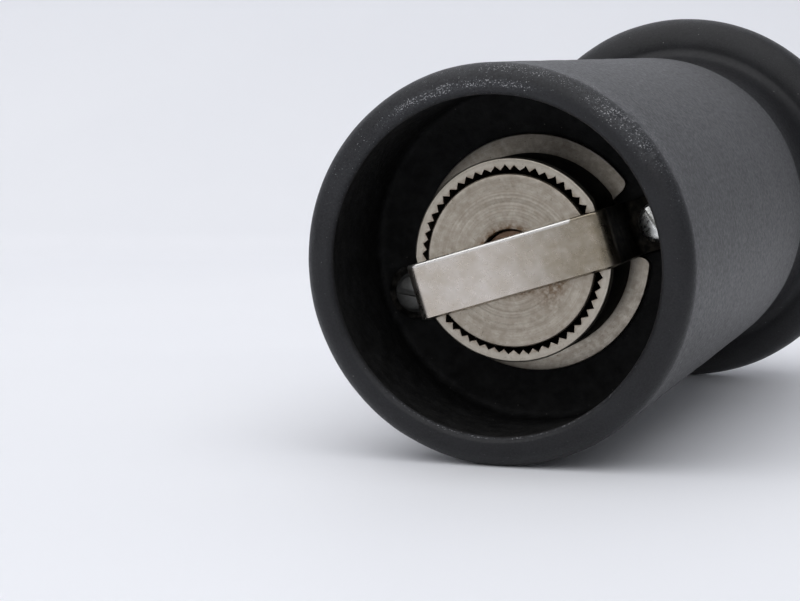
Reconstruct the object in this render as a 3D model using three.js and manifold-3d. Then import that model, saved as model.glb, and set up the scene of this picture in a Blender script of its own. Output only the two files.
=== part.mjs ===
// Pepper mill: a hollow painted cast-iron body with a steel grinding mechanism in its open base,
// and a mushroom head whose driver plate turns the square shaft of the grinding cone.
// Millimetres, +Z up the mill's axis, origin at the centre of the base, the bridge lies along X.
import * as THREE from 'three';
import { mergeVertices } from 'three/addons/utils/BufferGeometryUtils.js';
import Module from 'manifold-3d';

const wasm = await Module();
wasm.setup();

// Driving dimensions.
const RIM_RADIUS = 27;
const NECK_RADIUS = 25.65;
const BODY_HEIGHT = 88.3;
const HEAD_RADIUS = 32;
const HEAD_TOP = 130;
const OVERALL_HEIGHT = 140;
const RING_RADIUS = 14;
const CONE_RADIUS = 11.86;
const SHAFT_WIDTH = 5;
const CONE_TRAVEL = 1.2;

// Clearances between seated and between turning pieces, and how far a cutter reaches past a face.
const SEAT_GAP = 0.05;
const RUNNING_GAP = 0.1;
const CUT_MARGIN = 1;

// Facets round each kind of turned surface, and steps along an arc of a profile.
const SIDES_LARGE = 40;
const SIDES_SMALL = 24;
const ARC_STEPS = 2;
const DOME_STEPS = 4;

// Body: base recess, floor, funnel and pepper chamber.
const RIM_ROUND = 2.8;
const LAND_INNER = 23.4;
const LIP_INNER = 22.8;
const LIP_DEPTH = 0.8;
const RECESS_RADIUS = 23.7;
const FLOOR_Z = 20.65;
const FLOOR_CORNER = 1;
const RING_BORE = RING_RADIUS - 0.3;
const FUNNEL_BOTTOM_Z = 31;
const FUNNEL_TOP_Z = 40;
const CHAMBER_RADIUS = 21.5;
const CHAMBER_TOP_Z = 72;
const MOUTH_RADIUS = 15.2;
const SHOULDER_Z = 80;
const SHOULDER_THICKNESS = 2;
const BODY_TOP_ROUND = 1.2;

// Mouth and head joint.
const BUSHING_RADIUS = 16.5;
const SPIGOT_RADIUS = 14.9;
const SLIP_RING_THICKNESS = 0.9;
const SLIP_RING_RADIUS = 23.2;
const HEAD_BOTTOM_Z = BODY_HEIGHT + RUNNING_GAP + SLIP_RING_THICKNESS + SEAT_GAP;
const HEAD_NECK_RADIUS = 23.6;
const BEAD_RADIUS = 5;
const BEAD_Z = 113.8;
const BEAD_END_ANGLE = THREE.MathUtils.degToRad(32);
const NUT_SEAT_RADIUS = 9;
const CORE_RADIUS = 19;
const CORE_SHOULDER_Z = 111.5;
const CORE_TOP_Z = 121.5;
const CORE_TOP_RADIUS = 9;
const CORE_GAP = 0.2;
const SPIGOT_BOTTOM_Z = 81;
const SPIGOT_CHAMFER = 0.6;
const HEAD_EDGE = 0.8;

// Grinding mechanism.
const RING_FACE_Z = 9.15;
const RING_TOP_Z = 25;
const FLANGE_RADIUS = 16.7;
const FLANGE_THICKNESS = 1.2;
const FLANGE_Z = FLOOR_Z - SEAT_GAP - FLANGE_THICKNESS;
const RING_COLLAR_RADIUS = RING_BORE - 0.3;
const RING_CHAMFER = 0.35;
const RING_BLANK_BORE = 9.5;
const RING_TEETH = 56;
const RING_TOOTH_TIP = 12.25;
const RING_TOOTH_DEPTH = 0.65;
const FINE_ZONE_TOP_Z = 15;
const RING_TAPER = 0.915;
const RING_MOUTH_RADIUS = 12.3;
const RING_MOUTH_BOTTOM_Z = 18;
const RING_MOUTH_TOP_Z = 22;
const FINE_TWIST = 0.06;
const COARSE_FLUTES = 8;
const RING_FLUTE_CREST = 0.4;
const RING_FLUTE_VALLEY = 0.8;
const RING_FLUTE_TAPER = 1.04;
const RING_FLUTE_TWIST = 0.5;
const CONE_FACE_Z = 8.48;
const CONE_RIM_TOP_Z = 9.4;
const CONE_TEETH = 48;
const CONE_TOOTH_TIP = 11.7;
const CONE_TAPER = 0.906;
const CONE_CHAMFER = 0.2;
const CONE_FLUTE_DEPTH = 2;
const CONE_FLUTE_TAPER = 0.68;
const CONE_FLUTE_TWIST = 0.6;
const CONE_TOP_Z = 22;
const CONE_POCKET_RADIUS = 4.25;
const CONE_POCKET_TOP_Z = 10.5;
const SHAFT_HOLE_RADIUS = 3.75;

// Bridge: a strip bent into a U with two feet, pushed over to one side of the ring's notches.
const BRIDGE_Y = 0.7;
const STRIP_THICKNESS = 1.2;
const STRIP_WIDTH = 8;
const BRIDGE_FACE_Z = 6.98;
const BRIDGE_HALF = 14.7;
const BEND_RADIUS = 2;
const FOOT_END_X = 22.6;
const FOOT_ROUND = 3.6;
const BRIDGE_SCREW_X = 18.6;
const FOOT_FACE_Z = FLOOR_Z - SEAT_GAP - STRIP_THICKNESS;
const NOTCH_WIDTH = 9.7;
const RING_FLAT_X = BRIDGE_HALF - STRIP_THICKNESS - 0.3;

// Shaft guide: an upside-down U that stands on the ring's collar.
const GUIDE_THICKNESS = 1;
const GUIDE_HALF = 13.2;
const GUIDE_WIDTH = 6;
const GUIDE_EYE_RADIUS = 5.6;
const GUIDE_TOP_Z = 34;

// Shaft ends.
const STUB_RADIUS = 1.9;
const RIVET_RADIUS = 2.7;
const RIVET_BOTTOM_Z = 8.95;
const WASHER_THICKNESS = 0.8;
const WASHER_GAP = 0.15;
const THREAD_RADIUS = SHAFT_WIDTH / 2;
const THREAD_BOTTOM_Z = 118;
const THREAD_TOP_Z = 136.8;
const THREAD_CHAMFER = 0.8;
const THREAD_HOLE_GAP = 0.4;

// Small parts.
const SCREW_HEAD_RADIUS = 2.9;
const SCREW_HEAD_HEIGHT = 2;
const SCREW_SHANK_RADIUS = 1.3;
const SCREW_SHANK_LENGTH = 8;
const SCREW_HOLE_EXTRA = 0.5;
const DRIVER_RADIUS = 11;
const DRIVER_THICKNESS = 1.5;
const DRIVER_SCREW_CIRCLE = 7.6;
const DRIVER_SCREWS = 3;
const DRIVER_SCREW_SCALE = 0.7;
const DRIVER_HOLE_RADIUS = 1;
const DRIVER_HOLE_DEPTH = 7;
const DRIVER_SLOT_TURN = 0.5;
const SPRING_RADIUS = 4.9;
const SPRING_WIRE = 0.9;
const SPRING_TURNS = 5;
const SPRING_STEPS_PER_TURN = 12;
const SPRING_WASHER_THICKNESS = 0.5;
const NUT_RADIUS = 7.5;
const NUT_KNURLS = 30;
const NUT_KNURL_DEPTH = 0.4;
const NUT_WAIST_DEPTH = 1.2;
const NUT_WAIST_HEIGHT = 0.9;
const NUT_BAND_BOTTOM = 1.4;
const NUT_DOME_HEIGHT = 2.6;
const NUT_DOME_CROWN = 0.6;
const NUT_WASHER_RADIUS = 6.8;
const NUT_WASHER_THICKNESS = 0.9;
const NUT_WASHER_GAP = 0.2;

// ---- Geometry helpers ----

// A closed three.js geometry as a solid: shared corners merged, triangles with no area dropped.
function solidOf(geometry) {
  const bare = geometry.clone();
  bare.deleteAttribute('normal');
  bare.deleteAttribute('uv');
  const merged = mergeVertices(bare);
  const corners = merged.index.array;
  const triangles = [];
  for (let i = 0; i < corners.length; i += 3) {
    const [a, b, c] = corners.slice(i, i + 3);
    if (a !== b && b !== c && c !== a) triangles.push(a, b, c);
  }
  const vertProperties = new Float32Array(merged.getAttribute('position').array);
  const triVerts = new Uint32Array(triangles);
  return new wasm.Manifold(new wasm.Mesh({ numProp: 3, vertProperties, triVerts }));
}

// A profile of radius against height, anticlockwise, turned about +Z.
function turned(profile, sides = SIDES_LARGE, steps = ARC_STEPS) {
  const geometry = new THREE.LatheGeometry(profile.getPoints(steps), sides);
  geometry.rotateX(Math.PI / 2);
  return solidOf(geometry);
}

// A flat outline raised from one height to another.
function prism(outline, bottom, top, steps = 1) {
  const options = { depth: top - bottom, steps, bevelEnabled: false, curveSegments: ARC_STEPS * 2 };
  const geometry = new THREE.ExtrudeGeometry(outline, options);
  geometry.translate(0, 0, bottom);
  return geometry;
}

function ringProfile(inner, outer, bottom, top) {
  const profile = new THREE.Path();
  profile.moveTo(inner, bottom);
  profile.lineTo(outer, bottom);
  profile.lineTo(outer, top);
  profile.lineTo(inner, top);
  profile.lineTo(inner, bottom);
  return profile;
}

function disc(radius, bottom, top, sides = SIDES_SMALL) {
  const profile = new THREE.Path();
  profile.moveTo(0, bottom);
  profile.lineTo(radius, bottom);
  profile.lineTo(radius, top);
  profile.lineTo(0, top);
  return turned(profile, sides);
}

function block(width, depth, bottom, top, x = 0, y = 0) {
  const geometry = new THREE.BoxGeometry(width, depth, top - bottom);
  geometry.translate(x, y, (bottom + top) / 2);
  return solidOf(geometry);
}

// A star outline: one point out and one point in for each tooth.
function starOutline(teeth, outer, inner) {
  const points = [];
  for (let i = 0; i < teeth * 2; i += 1) {
    const radius = i % 2 === 0 ? outer : inner;
    const angle = (i * Math.PI) / teeth;
    points.push(new THREE.Vector2(radius * Math.cos(angle), radius * Math.sin(angle)));
  }
  return new THREE.Shape(points);
}

// A toothed column that narrows to a share of its width and twists as it rises.
function toothedColumn({ teeth, outer, inner, bottom, top, taper, twist, steps }) {
  const geometry = prism(starOutline(teeth, outer, inner), bottom, top, steps);
  const position = geometry.getAttribute('position');
  const corner = new THREE.Vector3();
  const up = new THREE.Vector3(0, 0, 1);
  for (let i = 0; i < position.count; i += 1) {
    corner.fromBufferAttribute(position, i);
    const rise = (corner.z - bottom) / (top - bottom);
    const scale = THREE.MathUtils.lerp(1, taper, rise);
    corner.x *= scale;
    corner.y *= scale;
    corner.applyAxisAngle(up, twist * rise);
    position.setXYZ(i, corner.x, corner.y, corner.z);
  }
  return solidOf(geometry);
}

// A strip outline in X and Z, as thick as the sheet, drawn across its width along Y.
function strip(outline, width) {
  const geometry = new THREE.ExtrudeGeometry(outline, {
    depth: width,
    bevelEnabled: false,
    curveSegments: ARC_STEPS * 2,
  });
  geometry.rotateX(Math.PI / 2);
  geometry.translate(0, width / 2, 0);
  return solidOf(geometry);
}

// A cheese of a screw head with a slot across it, its shank rising from the seat.
function slottedScrew({ x, y, seat, slotAngle, scale = 1 }) {
  const headRadius = SCREW_HEAD_RADIUS * scale;
  const headHeight = SCREW_HEAD_HEIGHT * scale;
  const shankRadius = SCREW_SHANK_RADIUS * scale;
  const slotWidth = headRadius * 0.3;
  const slotDepth = headHeight / 2;
  const profile = new THREE.Path();
  profile.moveTo(0, -headHeight);
  profile.quadraticCurveTo(headRadius, -headHeight, headRadius, -headHeight * 0.3);
  profile.lineTo(headRadius, 0);
  profile.lineTo(shankRadius, 0);
  profile.lineTo(shankRadius, SCREW_SHANK_LENGTH * scale - shankRadius);
  profile.lineTo(0, SCREW_SHANK_LENGTH * scale);
  const slot = block(headRadius * 3, slotWidth, -headHeight - CUT_MARGIN, slotDepth - headHeight);
  return turned(profile, SIDES_SMALL)
    .subtract(slot)
    .rotate([0, 0, THREE.MathUtils.radToDeg(slotAngle)])
    .translate([x, y, seat]);
}

// ---- Materials ----

function finish(color, roughness, metalness) {
  return new THREE.MeshStandardMaterial({ color, roughness, metalness, flatShading: true });
}

const castPaint = finish(0x2b2c2e, 0.75, 0.1);
const grindingSteel = finish(0xa89f94, 0.38, 1);
const stripSteel = finish(0xb5aea4, 0.3, 1);
const screwSteel = finish(0xc4c2bf, 0.25, 1);
const springSteel = finish(0x8f8d8a, 0.35, 1);
const whitePlastic = finish(0xd8d6cf, 0.5, 0);
const darkPlastic = finish(0x202122, 0.55, 0);

const mill = new THREE.Group();

function addPart(name, solid, material) {
  const { vertProperties, triVerts } = solid.getMesh();
  const geometry = new THREE.BufferGeometry();
  geometry.setAttribute('position', new THREE.BufferAttribute(vertProperties, 3));
  geometry.setIndex(new THREE.BufferAttribute(triVerts, 1));
  geometry.computeVertexNormals();
  const mesh = new THREE.Mesh(geometry, material);
  mesh.name = name;
  mill.add(mesh);
}

// ---- Body ----

// Tapered barrel: rolled rim, open recess, floor with the ring's bore, funnel, chamber and mouth.
function bodyCasting() {
  const roundStart = RIM_RADIUS - RIM_ROUND;
  const topRoundStart = NECK_RADIUS - BODY_TOP_ROUND;
  const profile = new THREE.Path();
  profile.moveTo(LAND_INNER, 0);
  profile.lineTo(roundStart, 0);
  profile.absarc(roundStart, RIM_ROUND, RIM_ROUND, -Math.PI / 2, 0, false);
  profile.lineTo(NECK_RADIUS, BODY_HEIGHT - BODY_TOP_ROUND);
  profile.absarc(topRoundStart, BODY_HEIGHT - BODY_TOP_ROUND, BODY_TOP_ROUND, 0, Math.PI / 2, false);
  profile.lineTo(BUSHING_RADIUS + SEAT_GAP, BODY_HEIGHT);
  profile.lineTo(BUSHING_RADIUS + SEAT_GAP, SHOULDER_Z);
  profile.lineTo(MOUTH_RADIUS, SHOULDER_Z);
  profile.lineTo(MOUTH_RADIUS, SHOULDER_Z - SHOULDER_THICKNESS);
  profile.lineTo(CHAMBER_RADIUS, CHAMBER_TOP_Z);
  profile.lineTo(CHAMBER_RADIUS, FUNNEL_TOP_Z);
  profile.lineTo(RING_BORE, FUNNEL_BOTTOM_Z);
  profile.lineTo(RING_BORE, FLOOR_Z);
  profile.lineTo(RECESS_RADIUS - FLOOR_CORNER, FLOOR_Z);
  profile.absarc(RECESS_RADIUS - FLOOR_CORNER, FLOOR_Z - FLOOR_CORNER, FLOOR_CORNER, Math.PI / 2, 0, true);
  profile.lineTo(LIP_INNER, LIP_DEPTH);
  profile.lineTo(LAND_INNER, 0);
  let body = turned(profile);
  for (const side of [-1, 1]) {
    const hole = disc(SCREW_SHANK_RADIUS + SEAT_GAP, 0, SCREW_SHANK_LENGTH + SCREW_HOLE_EXTRA);
    body = body.subtract(hole.translate([side * BRIDGE_SCREW_X, BRIDGE_Y, FLOOR_Z - STRIP_THICKNESS]));
  }
  return body;
}

function neckBushing() {
  return turned(ringProfile(
    SPIGOT_RADIUS + RUNNING_GAP,
    BUSHING_RADIUS,
    SHOULDER_Z + SEAT_GAP,
    BODY_HEIGHT,
  ));
}

// ---- Grinding mechanism ----

// Ring with fine teeth round the lower bore, flutes above, and a notched flange against the floor.
function grindingRing() {
  const profile = new THREE.Path();
  profile.moveTo(RING_BLANK_BORE, RING_FACE_Z);
  profile.lineTo(RING_RADIUS - RING_CHAMFER, RING_FACE_Z);
  profile.lineTo(RING_RADIUS, RING_FACE_Z + RING_CHAMFER);
  profile.lineTo(RING_RADIUS, FLANGE_Z);
  profile.lineTo(FLANGE_RADIUS, FLANGE_Z);
  profile.lineTo(FLANGE_RADIUS, FLANGE_Z + FLANGE_THICKNESS);
  profile.lineTo(RING_COLLAR_RADIUS, FLANGE_Z + FLANGE_THICKNESS);
  profile.lineTo(RING_COLLAR_RADIUS, RING_TOP_Z);
  profile.lineTo(RING_BLANK_BORE, RING_TOP_Z);
  profile.lineTo(RING_BLANK_BORE, RING_FACE_Z);
  const fineBore = toothedColumn({
    teeth: RING_TEETH,
    outer: RING_TOOTH_TIP + RING_TOOTH_DEPTH,
    inner: RING_TOOTH_TIP,
    bottom: RING_FACE_Z - SEAT_GAP,
    top: FINE_ZONE_TOP_Z,
    taper: RING_TAPER,
    twist: FINE_TWIST,
    steps: 2,
  });
  const fluteTip = RING_TOOTH_TIP * RING_TAPER;
  const coarseBore = toothedColumn({
    teeth: COARSE_FLUTES,
    outer: fluteTip + RING_FLUTE_VALLEY,
    inner: fluteTip - RING_FLUTE_CREST,
    bottom: FINE_ZONE_TOP_Z - SEAT_GAP,
    top: RING_MOUTH_TOP_Z + CUT_MARGIN,
    taper: RING_FLUTE_TAPER,
    twist: RING_FLUTE_TWIST,
    steps: 4,
  });
  const mouth = new THREE.Path();
  mouth.moveTo(0, RING_MOUTH_BOTTOM_Z);
  mouth.lineTo(fluteTip - RING_FLUTE_CREST, RING_MOUTH_BOTTOM_Z);
  mouth.lineTo(RING_MOUTH_RADIUS, RING_MOUTH_TOP_Z);
  mouth.lineTo(RING_MOUTH_RADIUS, RING_TOP_Z + CUT_MARGIN);
  mouth.lineTo(0, RING_TOP_Z + CUT_MARGIN);
  let ring = turned(profile).subtract(fineBore).subtract(coarseBore).subtract(turned(mouth));
  for (const side of [-1, 1]) {
    const flatDepth = FLANGE_RADIUS - RING_FLAT_X + CUT_MARGIN;
    const flat = block(flatDepth, NOTCH_WIDTH, 0, FLOOR_Z, side * (RING_FLAT_X + flatDepth / 2));
    ring = ring.subtract(flat);
  }
  return ring;
}

// Cone with a smooth turned rim, fine teeth behind it, spiral flutes on top and a square hole.
function grindingCone() {
  const rim = new THREE.Path();
  rim.moveTo(0, CONE_FACE_Z);
  rim.lineTo(CONE_RADIUS - CONE_CHAMFER, CONE_FACE_Z);
  rim.lineTo(CONE_RADIUS, CONE_FACE_Z + CONE_CHAMFER);
  rim.lineTo(CONE_RADIUS, CONE_RIM_TOP_Z);
  rim.lineTo(0, CONE_RIM_TOP_Z);
  const fineZone = toothedColumn({
    teeth: CONE_TEETH,
    outer: CONE_TOOTH_TIP,
    inner: CONE_TOOTH_TIP - RING_TOOTH_DEPTH,
    bottom: CONE_RIM_TOP_Z - SEAT_GAP,
    top: FINE_ZONE_TOP_Z,
    taper: CONE_TAPER,
    twist: -FINE_TWIST,
    steps: 2,
  });
  const fluteTip = CONE_TOOTH_TIP * CONE_TAPER - RING_TOOTH_DEPTH;
  const coarseZone = toothedColumn({
    teeth: COARSE_FLUTES,
    outer: fluteTip,
    inner: fluteTip - CONE_FLUTE_DEPTH,
    bottom: FINE_ZONE_TOP_Z - SEAT_GAP,
    top: CONE_TOP_Z,
    taper: CONE_FLUTE_TAPER,
    twist: -CONE_FLUTE_TWIST,
    steps: 4,
  });
  const holeWidth = SHAFT_WIDTH + RUNNING_GAP;
  const squareHole = block(holeWidth, holeWidth, CONE_FACE_Z, CONE_TOP_Z + CUT_MARGIN);
  return turned(rim)
    .add(fineZone)
    .add(coarseZone)
    .subtract(squareHole)
    .subtract(disc(CONE_POCKET_RADIUS, CONE_FACE_Z - CUT_MARGIN, CONE_POCKET_TOP_Z));
}

// Half of a U-shaped strip's outline, from the middle of its outer face round to its inner face.
function bridgeHalfOutline(side) {
  const inner = BEND_RADIUS - STRIP_THICKNESS;
  const footBack = FOOT_FACE_Z + STRIP_THICKNESS;
  const half = new THREE.Path();
  half.moveTo(0, BRIDGE_FACE_Z);
  half.lineTo(BRIDGE_HALF - BEND_RADIUS, BRIDGE_FACE_Z);
  half.absarc(BRIDGE_HALF - BEND_RADIUS, BRIDGE_FACE_Z + BEND_RADIUS, BEND_RADIUS, -Math.PI / 2, 0, false);
  half.lineTo(BRIDGE_HALF, FOOT_FACE_Z - inner);
  half.absarc(BRIDGE_HALF + inner, FOOT_FACE_Z - inner, inner, Math.PI, Math.PI / 2, true);
  half.lineTo(FOOT_END_X, FOOT_FACE_Z);
  half.lineTo(FOOT_END_X, footBack);
  half.lineTo(BRIDGE_HALF + inner, footBack);
  half.absarc(BRIDGE_HALF + inner, footBack - BEND_RADIUS, BEND_RADIUS, Math.PI / 2, Math.PI, false);
  half.lineTo(BRIDGE_HALF - STRIP_THICKNESS, BRIDGE_FACE_Z + BEND_RADIUS);
  half.absarc(BRIDGE_HALF - BEND_RADIUS, BRIDGE_FACE_Z + BEND_RADIUS, inner, 0, -Math.PI / 2, true);
  half.lineTo(0, BRIDGE_FACE_Z + STRIP_THICKNESS);
  return half.getPoints(ARC_STEPS).map((point) => new THREE.Vector2(side * point.x, point.y));
}

// The plan that the strip is cut to: a long slot shape with round ends.
function bridgePlan() {
  const endX = FOOT_END_X - FOOT_ROUND;
  const halfWidth = STRIP_WIDTH / 2;
  const plan = new THREE.Shape();
  plan.moveTo(-endX, -halfWidth);
  plan.lineTo(endX, -halfWidth);
  plan.absellipse(endX, 0, FOOT_ROUND, halfWidth, -Math.PI / 2, Math.PI / 2, false);
  plan.lineTo(-endX, halfWidth);
  plan.absellipse(-endX, 0, FOOT_ROUND, halfWidth, Math.PI / 2, Math.PI * 1.5, false);
  return plan;
}

function bridge() {
  const outline = new THREE.Shape([...bridgeHalfOutline(1), ...bridgeHalfOutline(-1).reverse()]);
  let piece = strip(outline, STRIP_WIDTH).intersect(solidOf(prism(bridgePlan(), 0, FLOOR_Z)));
  for (const side of [-1, 1]) {
    const hole = disc(SCREW_SHANK_RADIUS + SEAT_GAP, FLANGE_Z - CUT_MARGIN, FLOOR_Z + CUT_MARGIN);
    piece = piece.subtract(hole.translate([side * BRIDGE_SCREW_X, 0, 0]));
  }
  return piece.translate([0, BRIDGE_Y, 0]);
}

// Upside-down U over the cone; its middle widens into an eye that steadies the shaft.
function shaftGuide() {
  const outline = new THREE.Shape();
  const footZ = RING_TOP_Z + SEAT_GAP;
  outline.moveTo(-GUIDE_HALF, footZ);
  outline.lineTo(-GUIDE_HALF + GUIDE_THICKNESS, footZ);
  outline.lineTo(-GUIDE_HALF + GUIDE_THICKNESS, GUIDE_TOP_Z - GUIDE_THICKNESS);
  outline.lineTo(GUIDE_HALF - GUIDE_THICKNESS, GUIDE_TOP_Z - GUIDE_THICKNESS);
  outline.lineTo(GUIDE_HALF - GUIDE_THICKNESS, footZ);
  outline.lineTo(GUIDE_HALF, footZ);
  const bendX = GUIDE_HALF - BEND_RADIUS;
  const bendZ = GUIDE_TOP_Z - BEND_RADIUS;
  outline.absarc(bendX, bendZ, BEND_RADIUS, 0, Math.PI / 2, false);
  outline.absarc(-bendX, bendZ, BEND_RADIUS, Math.PI / 2, Math.PI, false);
  const plan = block(GUIDE_HALF * 2, GUIDE_WIDTH, 0, GUIDE_TOP_Z)
    .add(disc(GUIDE_EYE_RADIUS, 0, GUIDE_TOP_Z));
  return strip(outline, GUIDE_EYE_RADIUS * 2)
    .intersect(plan)
    .subtract(disc(SHAFT_HOLE_RADIUS, RING_TOP_Z, GUIDE_TOP_Z + CUT_MARGIN));
}

// ---- Spindle: the pieces that rise and fall with the shaft ----

// Square bar with a riveted stub below the cone and a thread above the head.
function driveShaft() {
  const rivetTop = CONE_POCKET_TOP_Z - WASHER_THICKNESS - SEAT_GAP;
  const rivet = new THREE.Path();
  rivet.moveTo(0, RIVET_BOTTOM_Z);
  rivet.quadraticCurveTo(RIVET_RADIUS, RIVET_BOTTOM_Z, RIVET_RADIUS, rivetTop);
  rivet.lineTo(0, rivetTop);
  const thread = new THREE.Path();
  thread.moveTo(0, THREAD_BOTTOM_Z);
  thread.lineTo(THREAD_RADIUS, THREAD_BOTTOM_Z);
  thread.lineTo(THREAD_RADIUS, THREAD_TOP_Z - THREAD_CHAMFER);
  thread.lineTo(THREAD_RADIUS - THREAD_CHAMFER, THREAD_TOP_Z);
  thread.lineTo(0, THREAD_TOP_Z);
  return block(SHAFT_WIDTH, SHAFT_WIDTH, CONE_POCKET_TOP_Z, THREAD_BOTTOM_Z + SEAT_GAP)
    .add(disc(STUB_RADIUS, rivetTop - SEAT_GAP, CONE_POCKET_TOP_Z + SEAT_GAP))
    .add(turned(rivet, SIDES_SMALL))
    .add(turned(thread, SIDES_SMALL));
}

function coneWasher() {
  const top = CONE_POCKET_TOP_Z - SEAT_GAP / 2;
  const outer = CONE_POCKET_RADIUS - WASHER_GAP;
  return turned(ringProfile(STUB_RADIUS + SEAT_GAP, outer, top - WASHER_THICKNESS, top), SIDES_SMALL);
}

function springWasher() {
  const bottom = CONE_TOP_Z + SEAT_GAP;
  const outer = SPRING_RADIUS + SPRING_WIRE;
  return turned(ringProfile(SHAFT_HOLE_RADIUS, outer, bottom, bottom + SPRING_WASHER_THICKNESS), SIDES_SMALL);
}

// Coil spring between the washer on the cone and the underside of the shaft guide.
class Helix extends THREE.Curve {
  constructor(radius, bottom, top, turns) {
    super();
    Object.assign(this, { radius, bottom, top, turns });
  }

  getPoint(t, target = new THREE.Vector3()) {
    const angle = t * this.turns * Math.PI * 2;
    const height = THREE.MathUtils.lerp(this.bottom, this.top, t);
    return target.set(this.radius * Math.cos(angle), this.radius * Math.sin(angle), height);
  }
}

function coneSpring() {
  const wireRadius = SPRING_WIRE / 2;
  const bottom = CONE_TOP_Z + SPRING_WASHER_THICKNESS + wireRadius + RUNNING_GAP * 2;
  const top = GUIDE_TOP_Z - GUIDE_THICKNESS - wireRadius - RUNNING_GAP;
  const circle = new THREE.Path().absarc(0, 0, wireRadius, 0, Math.PI * 2);
  const section = new THREE.Shape(circle.getPoints(4).slice(1));
  const geometry = new THREE.ExtrudeGeometry(section, {
    steps: SPRING_TURNS * SPRING_STEPS_PER_TURN,
    extrudePath: new Helix(SPRING_RADIUS, bottom, top, SPRING_TURNS),
  });
  return solidOf(geometry);
}

// ---- Head ----

function slipRing() {
  const bottom = BODY_HEIGHT + RUNNING_GAP;
  const inner = SPIGOT_RADIUS + RUNNING_GAP * 4;
  return turned(ringProfile(inner, SLIP_RING_RADIUS, bottom, bottom + SLIP_RING_THICKNESS));
}

// Mushroom: straight neck, cove under a round bead, low dome with a flat seat for the nut.
function headCasting() {
  const beadRadial = HEAD_RADIUS - BEAD_RADIUS;
  const domeStart = new THREE.Vector2(
    beadRadial + BEAD_RADIUS * Math.cos(BEAD_END_ANGLE),
    BEAD_Z + BEAD_RADIUS * Math.sin(BEAD_END_ANGLE),
  );
  const domeReach = (HEAD_TOP - domeStart.y) / Math.tan(Math.PI / 2 - BEAD_END_ANGLE);
  const threadHole = THREAD_RADIUS + THREAD_HOLE_GAP;
  const profile = new THREE.Path();
  profile.moveTo(CORE_RADIUS, HEAD_BOTTOM_Z);
  profile.lineTo(HEAD_NECK_RADIUS - HEAD_EDGE, HEAD_BOTTOM_Z);
  profile.quadraticCurveTo(HEAD_NECK_RADIUS, HEAD_BOTTOM_Z, HEAD_NECK_RADIUS, HEAD_BOTTOM_Z + HEAD_EDGE);
  profile.bezierCurveTo(
    HEAD_NECK_RADIUS, BEAD_Z - BEAD_RADIUS * 2,
    HEAD_NECK_RADIUS + 1, BEAD_Z - BEAD_RADIUS,
    beadRadial, BEAD_Z - BEAD_RADIUS,
  );
  profile.absarc(beadRadial, BEAD_Z, BEAD_RADIUS, -Math.PI / 2, BEAD_END_ANGLE, false);
  profile.quadraticCurveTo(domeStart.x - domeReach, HEAD_TOP, NUT_SEAT_RADIUS, HEAD_TOP);
  profile.lineTo(threadHole, HEAD_TOP);
  profile.lineTo(threadHole, CORE_TOP_Z);
  profile.lineTo(CORE_TOP_RADIUS, CORE_TOP_Z);
  profile.lineTo(CORE_RADIUS, CORE_SHOULDER_Z);
  profile.lineTo(CORE_RADIUS, HEAD_BOTTOM_Z);
  return turned(profile, SIDES_LARGE, DOME_STEPS);
}

// Screw positions round the driver plate, as angles.
const driverScrewAngles = Array.from({ length: DRIVER_SCREWS }, (_, i) => (i * Math.PI * 2) / DRIVER_SCREWS);

function driverScrewPlace(angle) {
  return { x: DRIVER_SCREW_CIRCLE * Math.cos(angle), y: DRIVER_SCREW_CIRCLE * Math.sin(angle) };
}

// Hub that fills the head casting and reaches down into the body as the spigot.
function headCore() {
  const profile = new THREE.Path();
  profile.moveTo(SHAFT_HOLE_RADIUS, SPIGOT_BOTTOM_Z);
  profile.lineTo(SPIGOT_RADIUS - SPIGOT_CHAMFER, SPIGOT_BOTTOM_Z);
  profile.lineTo(SPIGOT_RADIUS, SPIGOT_BOTTOM_Z + SPIGOT_CHAMFER);
  profile.lineTo(SPIGOT_RADIUS, HEAD_BOTTOM_Z + CORE_GAP);
  profile.lineTo(CORE_RADIUS - CORE_GAP, HEAD_BOTTOM_Z + CORE_GAP);
  profile.lineTo(CORE_RADIUS - CORE_GAP, CORE_SHOULDER_Z - CORE_GAP);
  profile.lineTo(CORE_TOP_RADIUS - CORE_GAP, CORE_TOP_Z - CORE_GAP);
  profile.lineTo(SHAFT_HOLE_RADIUS, CORE_TOP_Z - CORE_GAP);
  profile.lineTo(SHAFT_HOLE_RADIUS, SPIGOT_BOTTOM_Z);
  let core = turned(profile);
  for (const angle of driverScrewAngles) {
    const { x, y } = driverScrewPlace(angle);
    const hole = disc(DRIVER_HOLE_RADIUS, SPIGOT_BOTTOM_Z - CUT_MARGIN, SPIGOT_BOTTOM_Z + DRIVER_HOLE_DEPTH);
    core = core.subtract(hole.translate([x, y, 0]));
  }
  return core;
}

function driverPlate() {
  const top = SPIGOT_BOTTOM_Z - SEAT_GAP;
  const bottom = top - DRIVER_THICKNESS;
  const holeWidth = SHAFT_WIDTH + RUNNING_GAP;
  let plate = disc(DRIVER_RADIUS, bottom, top, SIDES_LARGE);
  plate = plate.subtract(block(holeWidth, holeWidth, bottom - CUT_MARGIN, top + CUT_MARGIN));
  for (const angle of driverScrewAngles) {
    const { x, y } = driverScrewPlace(angle);
    const hole = disc(DRIVER_HOLE_RADIUS, bottom - CUT_MARGIN, top + CUT_MARGIN);
    plate = plate.subtract(hole.translate([x, y, 0]));
  }
  return plate;
}

function nutWasher() {
  const bottom = HEAD_TOP + SEAT_GAP;
  const inner = THREAD_RADIUS + NUT_WASHER_GAP;
  return turned(ringProfile(inner, NUT_WASHER_RADIUS, bottom, bottom + NUT_WASHER_THICKNESS), SIDES_SMALL);
}

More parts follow.
